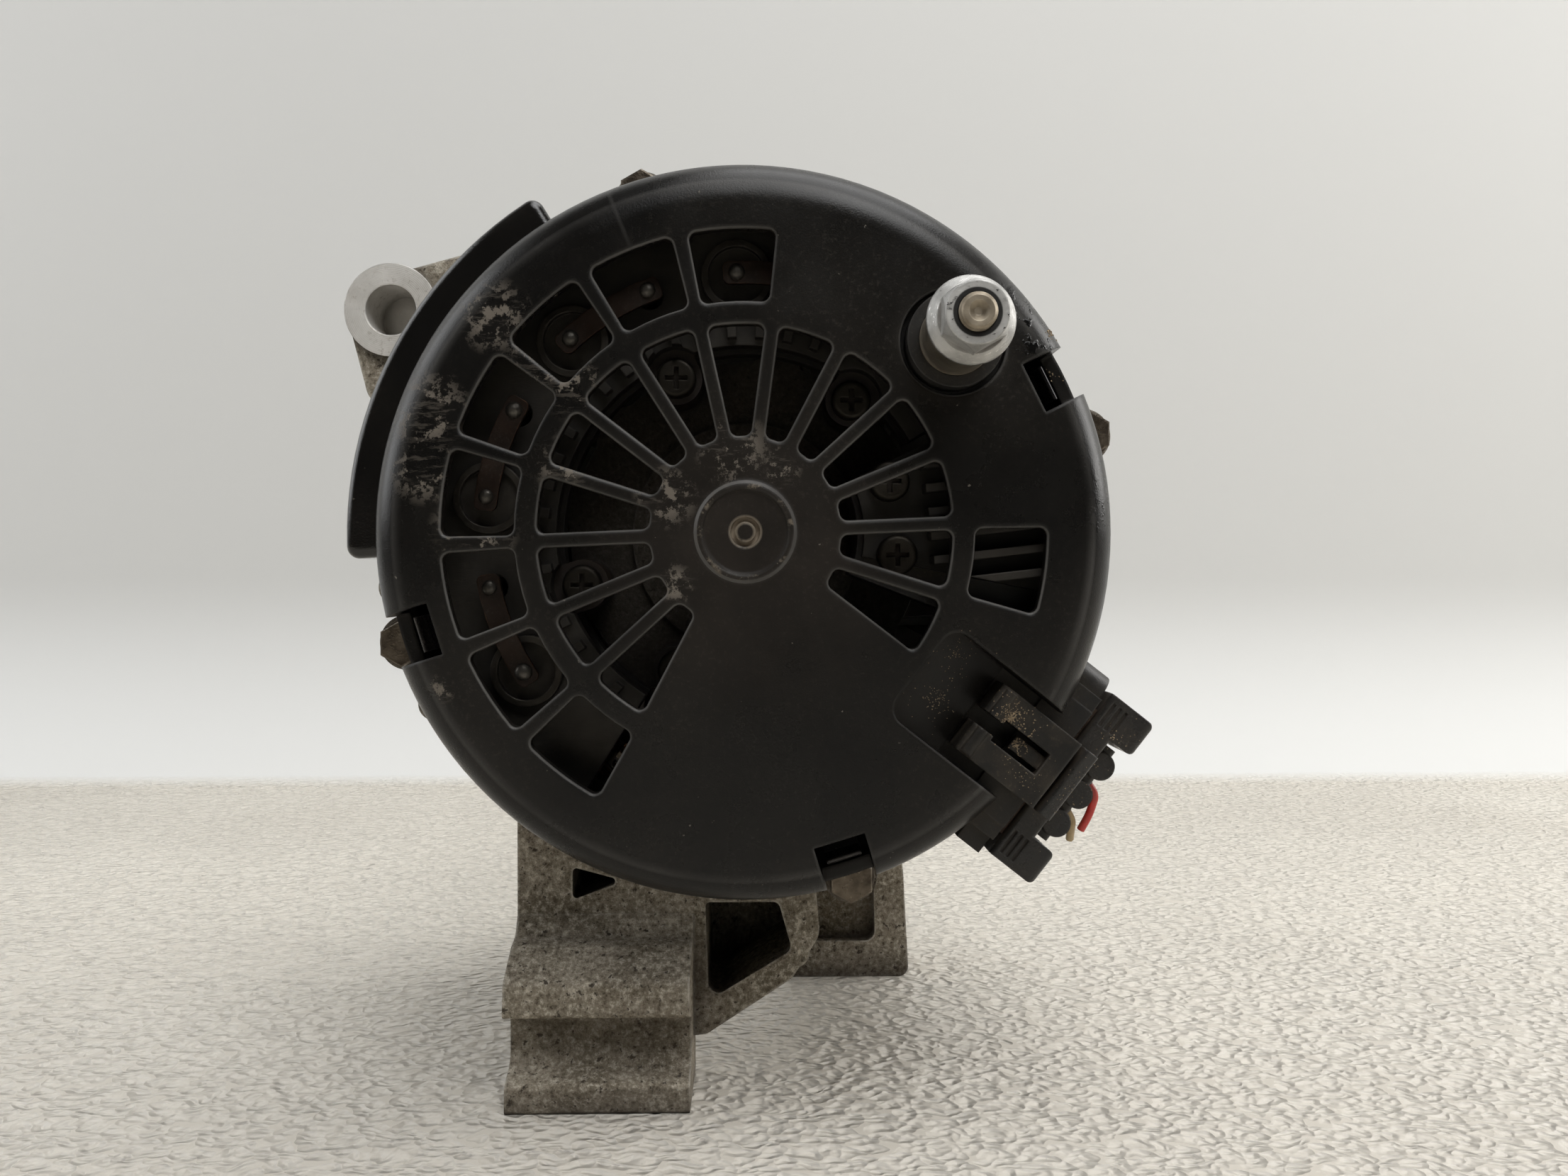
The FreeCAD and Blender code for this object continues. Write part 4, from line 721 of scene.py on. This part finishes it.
for which in ("inner", "outer"):
    low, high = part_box(which + "_brush_spring")
    middle = (Vector(low) + Vector(high)) / 2
    bottom = low[2] + spring_wire_radius
    rise = high[2] - low[2] - 2 * spring_wire_radius
    helix = spiral(middle, spring_coil_radius, bottom, rise, spring_turns, spring_turns * 14)
    coil = new_piece(which + "_spring_coil", "housing", ground_steel,
                     wire_bundle(which + "_spring_coil", spring_wire_radius, [helix], 2))
    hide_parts(which + "_brush_spring")
    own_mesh(coil)
    braid = spiral(middle, lead_wander, bottom, rise, 2, 24)
    pigtail = new_piece(which + "_brush_lead", "housing", bright_copper,
                        wire_bundle(which + "_brush_lead", lead_radius, [braid], 2))
    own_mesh(pigtail)


# ---- Output stud, sleeve and insulator
# An M6 steel stud clamps the positive heat sink. A plated sleeve carries the current out through a
# black moulded collar, and the cable's eye would sit under the nut.
stud_low, stud_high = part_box("output_stud")
stud_radius = 0.003
stud_pitch = 0.001
stud_head_height = 0.0035
stud_head_radius = 0.0055
thread_depth = 0.0005
dimple_depth, dimple_floor, dimple_mouth = 0.0009, 0.0006, 0.0016
stud_x = (stud_low[0] + stud_high[0]) / 2
stud_z = (stud_low[2] + stud_high[2]) / 2


def threaded_stud(work):
    """A cut M6 thread with a countersunk dimple in its end, on a round head."""
    around, per_turn = 48, 10
    length = stud_high[1] - stud_head_height - stud_low[1]
    rows = int(length / stud_pitch * per_turn)
    rings = []

    def ring(radius_at, y):
        corners = []
        for k in range(around):
            turn, radius = 2 * math.pi * k / around, radius_at(k)
            place = (stud_x + radius * math.cos(turn), y, stud_z + radius * math.sin(turn))
            corners.append(work.verts.new(place))
        return corners

    centre = work.verts.new((stud_x, stud_low[1] + dimple_depth, stud_z))
    rings.append(ring(lambda k: dimple_floor, stud_low[1] + dimple_depth))
    rings.append(ring(lambda k: dimple_mouth, stud_low[1]))
    for i in range(rows + 1):
        y = length * i / rows

        def radius_at(k):
            share = (y / stud_pitch - k / around) % 1.0
            flank = min(1.0, max(0.0, abs(share - 0.5) * 2.6 - 0.3))
            return min(stud_radius - thread_depth * flank, stud_radius - 0.0006 + y)

        rings.append(ring(radius_at, stud_low[1] + y))
    for radius, y in ((stud_head_radius, 0.0), (stud_head_radius, stud_head_height)):
        rings.append(ring(lambda k: radius, stud_high[1] - stud_head_height + y))
    for low, high in zip(rings, rings[1:]):
        for k in range(around):
            work.faces.new((low[k - 1], low[k], high[k], high[k - 1]))
    for k in range(around):
        work.faces.new((centre, rings[0][k], rings[0][k - 1]))
    work.faces.new(rings[-1])


stud_finish = Finish(
    "stud_thread_finish", ((0.20, 0.165, 0.12), (0.36, 0.31, 0.235)), 300.0, (0.42, 0.58), metal=0.7)
stud_finish.wear(0.0002, 0.7, (0.55, 0.51, 0.43), 0.28, 1.0, 600.0)
stud_finish.dirt(0.0007, 1.0, (0.030, 0.021, 0.014)).grain(3500.0, 900.0, 0.5, 0.00005, 0.4)
stud = new_piece("threaded_stud", "housing", stud_finish.done(),
                 mesh_of(threaded_stud, "threaded_stud"))
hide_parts("output_stud")

sleeve = Finish(
    "plated_sleeve_finish", ((0.21, 0.18, 0.135), (0.37, 0.33, 0.265)), 130.0, (0.32, 0.48), metal=0.9)
sleeve.wear(0.0004, 0.8, (0.55, 0.52, 0.46), 0.26, 1.0, 400.0)
sleeve.dirt(0.003, 0.9, (0.10, 0.075, 0.05)).grain(2600.0, 700.0, 0.5, 0.00008, 0.5)
coat(["stud_sleeve"], sleeve.done())


# ---- Cover and clips
# One injection moulding in black glass-filled nylon covers the electrics: a satin rim, ribs with
# rolled lips between the air slots and a raised gate boss. Three spring-steel hooks hold it.
def spot(centre, reach, stretch=(1.0, 1.0, 1.0)):
    """A soft-edged patch on the cover: 1 at the centre, 0 beyond the reach."""
    offset = cover.vector("SUBTRACT", cover.place, centre)
    away = cover.vector("LENGTH", cover.vector("MULTIPLY", offset, stretch))
    return cover.ramp(away, reach, reach * 0.35)


cover_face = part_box("rear_cover")[0][1] + 0.0005
scuffs = [(-0.0535, 0.020, 0.0080), (-0.0540, 0.011, 0.0070), (-0.0425, 0.0365, 0.0070),
          (-0.0330, 0.0300, 0.0080), (-0.0290, 0.0240, 0.0060), (-0.0020, 0.0140, 0.0070),
          (-0.0460, 0.0000, 0.0080), (-0.0300, 0.0110, 0.0060), (-0.0135, 0.0060, 0.0060),
          (-0.0520, -0.0270, 0.0030), (-0.0120, -0.0090, 0.0040), (0.0060, 0.0110, 0.0040)]
cover = Finish(
    "cover_nylon_finish", ((0.0050, 0.0047, 0.0043), (0.0088, 0.0081, 0.0072)), 38.0, (0.22, 0.33))
streaks = cover.stretched((1.0, 1.0, 5.0), (0, math.radians(40), 0))
torn = cover.ramp(cover.noise(230.0, 8.0, 0.75, streaks), 0.54, 0.60)
blotch = cover.ramp(cover.noise(210.0, 8.0, 0.78), 0.535, 0.56)
scuffed = None
for x, z, reach in scuffs:
    patch = spot((x, cover_face, z), reach, (1.0, 0.6, 1.0))
    scuffed = patch if scuffed is None else cover.maths("MAXIMUM", scuffed, patch)
clouds = cover.ramp(cover.noise(90.0, 6.0), 0.3, 0.7, 0.25, 0.8)
film = cover.times(spot((0.0, cover_face, -0.004), 0.030), clouds)
cover.tint(film, (0.020, 0.0155, 0.0118), 0.50)
cover.wear(0.0009, 1.0, (0.062, 0.059, 0.055), 0.34, 0.0, 60.0)
cover.dirt(0.004, 0.5, (0.030, 0.023, 0.017), 140.0)
cover.dust(0.12, (0.085, 0.072, 0.056), 1500.0, 28.0)
facing = cover.coordinate("Y", node(cover.tree, "NewGeometry").outputs["Normal"])
height = cover.coordinate("Y")
# Painted highlight: the rolled lips round the slots, where they turn away from the face, are painted
# lighter in patches, partly rubbed wear and partly painted highlight.
rolled = cover.times(cover.ramp(facing, -0.975, -0.80), cover.ramp(facing, 0.0, -0.25))
near_face = cover.ramp(height, cover_face + 0.0010, cover_face + 0.0007)
highlight_and_rub_patches = cover.ramp(cover.noise(55.0, 4.0), 0.32, 0.62, 0.35, 1.0)
lips = cover.times(cover.times(rolled, near_face), highlight_and_rub_patches)
cover.tint(cover.times(lips, 0.9), (0.11, 0.106, 0.10), 0.30)
axis_away = cover.from_line()
boss_radius, nipple_radius = 0.0079, 0.0021
for radius, half_width, low, high, colour in ((boss_radius, 0.0007, 0.55, 0.63, (0.13, 0.11, 0.085)),
                                              (nipple_radius, 0.0009, 0.36, 0.46, (0.30, 0.25, 0.19))):
    off_ring = cover.maths("ABSOLUTE", cover.maths("SUBTRACT", axis_away, radius))
    ring_mask = cover.ramp(off_ring, half_width, half_width * 0.3)
    rubbed = cover.ramp(cover.noise(330.0, 6.0, 0.7), low, high)
    cover.tint(cover.times(ring_mask, rubbed), colour, 0.5)
scrape = cover.times(scuffed, cover.maths("MAXIMUM", cover.times(torn, 0.3), blotch))
cover.tint(cover.times(scrape, 0.85), (0.17, 0.148, 0.122), 0.7)
knocks = cover.ramp(cover.noise(700.0, 3.0, 0.6), 0.735, 0.76)
cover.tint(cover.times(knocks, 0.6), (0.20, 0.18, 0.15), 0.7)
flow_angle, flow_radius = math.radians(112), 0.058
flow_side = cover.vector("DOT_PRODUCT", cover.place, (-math.sin(flow_angle), 0, math.cos(flow_angle)))
flow_line = cover.ramp(cover.maths("ABSOLUTE", flow_side), 0.0005, 0.0001)
flow_end = (flow_radius * math.cos(flow_angle), cover_face, flow_radius * math.sin(flow_angle))
flow = cover.times(cover.times(flow_line, spot(flow_end, 0.009)), 0.7)
cover.tint(flow, (0.030, 0.029, 0.027), 0.3)
oil_noise = cover.ramp(cover.noise(420.0, 3.0), 0.56, 0.62)
oil_zone = cover.maths("MAXIMUM", spot((0.053, cover_face, 0.036), 0.013),
                       spot((0.064, cover_face + 0.01, 0.006), 0.012))
oil = cover.times(oil_noise, oil_zone)
cover.tint(oil, (0.004, 0.004, 0.004), 0.06)
# Painted shade: cover surfaces from 1.5 mm behind the face, fully at 5.5 mm, inside the rim, are darkened
# to near black to stand for the shade in the slots and the plug's recess.
painted_recess_shade = cover.times(cover.ramp(height, cover_face + 0.0015, cover_face + 0.0055),
                     cover.ramp(axis_away, 0.0600, 0.0590))
cover.tint(cover.times(painted_recess_shade, 0.7), (0.0035, 0.0030, 0.0025), 0.45)
shield_zone = cover.ramp(axis_away, 0.0650, 0.0660)
cover.rough = cover.blend(shield_zone, cover.rough, 0.13)
link(cover.tree, cover.blend(shield_zone, 0.24, 0.55), cover.shader.inputs["Specular IOR Level"])
cover.bump(oil, 0.00012, 0.6)
cover.grain(3200.0, 420.0, 0.6, 0.00006, 0.45)
coat(["rear_cover"], cover.done())

collar = Finish(
    "collar_moulding_finish", ((0.010, 0.010, 0.010), (0.020, 0.019, 0.018)), 80.0, (0.28, 0.44),
    Specular_IOR_Level=0.35)
collar.wear(0.0004, 0.6, (0.07, 0.066, 0.06), 0.4, 0.0)
collar.dust(0.2, (0.12, 0.10, 0.075)).grain(2600.0, 500.0, 0.5, 0.00006, 0.4)
coat(["stud_insulator"], collar.done())

blued = Finish(
    "blued_spring_finish", ((0.012, 0.012, 0.014), (0.030, 0.029, 0.030)), 90.0, (0.14, 0.26), metal=0.7)
blued.wear(0.0004, 0.6, (0.30, 0.28, 0.26), 0.3, 1.0)
blued.dust(0.3, road_dirt).grain(2400.0, 500.0, 0.4, 0.00005, 0.4)
coat(["cover_clips"], blued.done())


# ---- Nut on the output stud
# A zinc-plated M6 flange nut, its corners and flange scraped bright by the spanner and the cable.
bright_zinc = Finish(
    "flange_nut_finish", ((0.34, 0.335, 0.32), (0.54, 0.535, 0.515)), 260.0, (0.42, 0.58), metal=0.6)
scratches = bright_zinc.stretched((1.0, 9.0, 1.6), (0.4, 0.7, 0.2))
scratch = bright_zinc.noise(700.0, 6.0, 0.7, scratches)
bright_zinc.tint(bright_zinc.ramp(scratch, 0.56, 0.64), (0.56, 0.55, 0.53), 0.24, 1.0)
bright_zinc.wear(0.0004, 0.8, (0.68, 0.67, 0.65), 0.22, 1.0, 500.0)
bright_zinc.dirt(0.0018, 0.9, (0.07, 0.055, 0.04)).bump(scratch, 0.00012, 0.5)
from_stud = bright_zinc.from_line(stud_x, stud_z)
locking_ring = bright_zinc.ramp(from_stud, stud_radius + 0.0009, stud_radius + 0.0007)
bright_zinc.tint(locking_ring, (0.010, 0.009, 0.008), 0.4, 0.0)
coat(["stud_nut"], bright_zinc.done())


# ---- Harness plug
# The cut-off end of the engine harness: a black moulded plug with a springy latch over it, a
# silicone seal and two wire stubs. Sand and dried mud have packed into its top.
plug = Finish(
    "plug_moulding_finish", ((0.0085, 0.0085, 0.0085), (0.016, 0.0155, 0.015)), 110.0, (0.18, 0.32),
    Specular_IOR_Level=0.4)
plug.wear(0.0005, 0.8, (0.085, 0.080, 0.074), 0.36, 0.0)
plug.dirt(0.002, 0.5, (0.060, 0.045, 0.030)).dust(0.14, (0.13, 0.10, 0.07), 1700.0, 130.0)
plug.grain(2600.0, 500.0, 0.5, 0.00008, 0.45)
coat(["plug_housing"], plug.done())

latch = Finish(
    "latch_moulding_finish", ((0.0085, 0.0080, 0.0072), (0.017, 0.0152, 0.013)), 140.0, (0.34, 0.50),
    Specular_IOR_Level=0.3)
latch.wear(0.0006, 0.9, (0.11, 0.10, 0.088), 0.42, 0.0)
latch.dirt(0.002, 0.6, (0.060, 0.045, 0.030)).dust(0.22, (0.13, 0.10, 0.065), 1500.0, 150.0)
latch.grain(2200.0, 500.0, 0.7, 0.00012, 0.5)
coat(["plug_latch"], latch.done())

silicone = Finish("seal_silicone_finish", ((0.055, 0.030, 0.018), (0.09, 0.05, 0.03)), 120.0, (0.45, 0.6))
silicone.dust(0.4, pale_dust).grain(2400.0, 500.0, 0.5, 0.00005, 0.4)
coat(["plug_seal"], silicone.done())


def insulation(name, tones):
    made = Finish(name, tones, 400.0, (0.30, 0.46), Coat_Weight=0.2)
    made.dirt(0.002, 0.5, (0.10, 0.07, 0.045)).dust(0.25, (0.25, 0.2, 0.14), 2500.0, 300.0)
    return made.grain(3500.0, 900.0, 0.4, 0.00004, 0.3).done()


red_sheath = insulation("red_sheath_finish", ((0.42, 0.012, 0.010), (0.60, 0.030, 0.022)))
tan_sheath = insulation("tan_sheath_finish", ((0.36, 0.25, 0.11), (0.50, 0.37, 0.19)))
coat(["red_wire_stub"], red_sheath)
coat(["tan_wire_stub"], tan_sheath)


def lie_grains(name, node_name, body, patches, seed):
    """Small angular grains resting on a piece, found by looking along the shaft from the rear."""
    rng = random.Random(seed)
    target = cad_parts[node_name]
    surface = BVHTree.FromObject(target, bpy.context.evaluated_depsgraph_get())

    def build(work):
        for x, z, reach, count, size in patches:
            for _ in range(count):
                turn, away = rng.uniform(0, 2 * math.pi), abs(rng.gauss(0, 0.5)) * reach
                start = Vector((x + away * math.cos(turn), cad_box[0][1] - 0.02, z + away * math.sin(turn)))
                hit, normal, _, _ = surface.ray_cast(start, Vector((0, 1, 0)))
                if hit is None or normal[1] > -0.25:
                    continue
                radius = size * rng.uniform(0.4, 1.0)
                turned = Matrix.Rotation(rng.uniform(0, 6.28), 4, "Y")
                shape = Matrix.Diagonal((radius, radius * 0.6, radius * rng.uniform(0.6, 1.0), 1.0))
                place = Matrix.Translation(hit) @ turned @ shape
                made = bmesh.ops.create_icosphere(work, subdivisions=1, radius=1.0, matrix=place)
                for vert in made["verts"]:
                    vert.co += Vector([rng.uniform(-0.2, 0.2) * radius for _ in range(3)])

    return new_piece(name, body, sand, mesh_of(build, name))


sand_finish = Finish("sand_grain_finish", ((0.12, 0.085, 0.05), (0.33, 0.25, 0.155)), 900.0, (0.6, 0.85))
sand = sand_finish.grain(5000.0, 1500.0, 0.5, 0.00004, 0.5).done()


def on_plug(outward, across):
    """A place given along the plug's own direction and across it, as (x, z)."""
    turn = math.radians(-38)
    return (outward * math.cos(turn) - across * math.sin(turn),
            outward * math.sin(turn) + across * math.cos(turn))


lie_grains("latch_grit", "plug_latch", "plug_latch",
           [(*on_plug(0.0560, 0.003), 0.006, 300, 0.00018), (*on_plug(0.060, 0.0), 0.004, 110, 0.0002),
            (*on_plug(0.064, -0.004), 0.006, 50, 0.00013)], 21)
lie_grains("plug_grit", "plug_housing", "harness_plug",
           [(*on_plug(0.074, 0.0), 0.009, 110, 0.00016), (*on_plug(0.075, 0.012), 0.006, 40, 0.00018)], 22)
lie_grains("recess_grit", "rear_cover", "housing",
           [(*on_plug(0.0445, -0.002), 0.006, 110, 0.00013), (*on_plug(0.042, 0.006), 0.004, 60, 0.00012),
            (0.0530, 0.0345, 0.003, 26, 0.00028), (0.0555, 0.029, 0.003, 14, 0.00022)], 23)


# ---- Bench, light and camera
# A pale vinyl bench in front of a pale wall, lit softly from both sides and above as in a
# workshop by a window. The camera is low and close, square to the rear of the alternator.
bench_z = cad_box[0][2]
wall_y = 0.33
wall_height = 1.8
cove = 0.10
bench_half_width, bench_front = 1.8, -1.6


def backdrop(work):
    profile = [(bench_front, 0.0), (wall_y - cove, 0.0)]
    for i in range(1, 13):
        turn = math.pi / 2 * i / 12
        profile.append((wall_y - cove + cove * math.sin(turn), cove * (1 - math.cos(turn))))
    profile.append((wall_y, wall_height))
    sides = (-bench_half_width, bench_half_width)
    rows = [[work.verts.new((x, y, bench_z + z)) for x in sides] for y, z in profile]
    for low, high in zip(rows, rows[1:]):
        work.faces.new((low[0], low[1], high[1], high[0]))


bench_finish = Finish("pale_vinyl_finish", ((0.545, 0.510, 0.450), (0.62, 0.585, 0.520)), 5.0, (0.40, 0.56))
bench_place = bench_finish.place
swirl = node(bench_finish.tree, "TexNoise")
feed(bench_finish.tree, swirl, Vector=bench_place, Scale=160.0, Detail=2.0)
warp = bench_finish.vector("MULTIPLY_ADD", swirl.outputs["Color"], (0.006, 0.006, 0.006), bench_place)
creases = node(bench_finish.tree, "TexVoronoi", feature="SMOOTH_F1")
squeezed = bench_finish.stretched((0.6, 1.0, 1.0), place=warp)
feed(bench_finish.tree, creases, Vector=squeezed, Scale=470.0, Smoothness=0.25)
hollow = creases.outputs["Distance"]
on_bench = bench_finish.ramp(bench_finish.coordinate("Z"), bench_z + 0.004, bench_z + 0.001)
marks = bench_finish.ramp(bench_finish.noise(230.0, 3.0, 0.6), 0.66, 0.70)
bench_finish.tint(bench_finish.times(bench_finish.times(marks, on_bench), 0.45), (0.20, 0.18, 0.16))
bench_finish.tint(bench_finish.maths("SUBTRACT", 1.0, on_bench), (0.60, 0.60, 0.585), 0.7)
folds = bench_finish.times(bench_finish.ramp(hollow, 0.55, 0.85), bench_finish.times(on_bench, 0.35))
bench_finish.tint(folds, (0.40, 0.365, 0.31))
bench_finish.bump(bench_finish.times(bench_finish.ramp(hollow, 0.1, 0.75), on_bench), 0.0014, 1.0)
bench = bpy.data.objects.new("bench", mesh_of(backdrop, "bench"))
bpy.context.scene.collection.objects.link(bench)
bench.data.materials.append(bench_finish.done())

world = bpy.data.worlds.new("room_light")
bpy.context.scene.world = world
world.use_nodes = True
world.node_tree.nodes["Background"].inputs["Color"].default_value = (1.0, 0.98, 0.95, 1.0)
world.node_tree.nodes["Background"].inputs["Strength"].default_value = 0.03


def softbox(name, place, aim, width, height, power, colour=(1.0, 1.0, 1.0)):
    lamp = bpy.data.lights.new(name, "AREA")
    lamp.shape = "RECTANGLE"
    lamp.size, lamp.size_y = width, height
    lamp.energy = power
    lamp.color = colour
    holder = bpy.data.objects.new(name, lamp)
    bpy.context.scene.collection.objects.link(holder)
    holder.location = place
    holder.rotation_euler = (Vector(aim) - Vector(place)).to_track_quat("-Z", "Y").to_euler()
    return holder


softbox("window_left", (-1.05, -0.05, 0.50), (0, -0.05, -0.05), 0.7, 0.9, 6.0, (0.98, 0.99, 1.0))
softbox("window_right", (1.15, 0.02, 0.50), (0, 0.0, -0.05), 0.6, 0.8, 9.0, (1.0, 0.985, 0.96))
softbox("ceiling", (0.30, -0.02, 1.30), (0.15, 0.0, 0), 1.7, 0.9, 18.0)
softbox("room_behind_camera", (0.25, -0.90, 0.95), (0, -0.15, -0.06), 0.8, 0.5, 7.5)

lens = bpy.data.cameras.new("bench_camera")
lens.lens = 27.764
lens.sensor_width = 36.0
lens.clip_start = 0.01
camera = bpy.data.objects.new("bench_camera", lens)
bpy.context.scene.collection.objects.link(camera)
camera.location = (0.0022, -0.33467, -0.00781)
camera.rotation_mode = "YXZ"
camera.rotation_euler = (math.radians(90 - 0.481), math.radians(0.0), math.radians(-1.219))
bpy.context.scene.camera = camera
bpy.context.scene.view_settings.view_transform = "Standard"
bpy.context.scene.view_settings.look = "None"
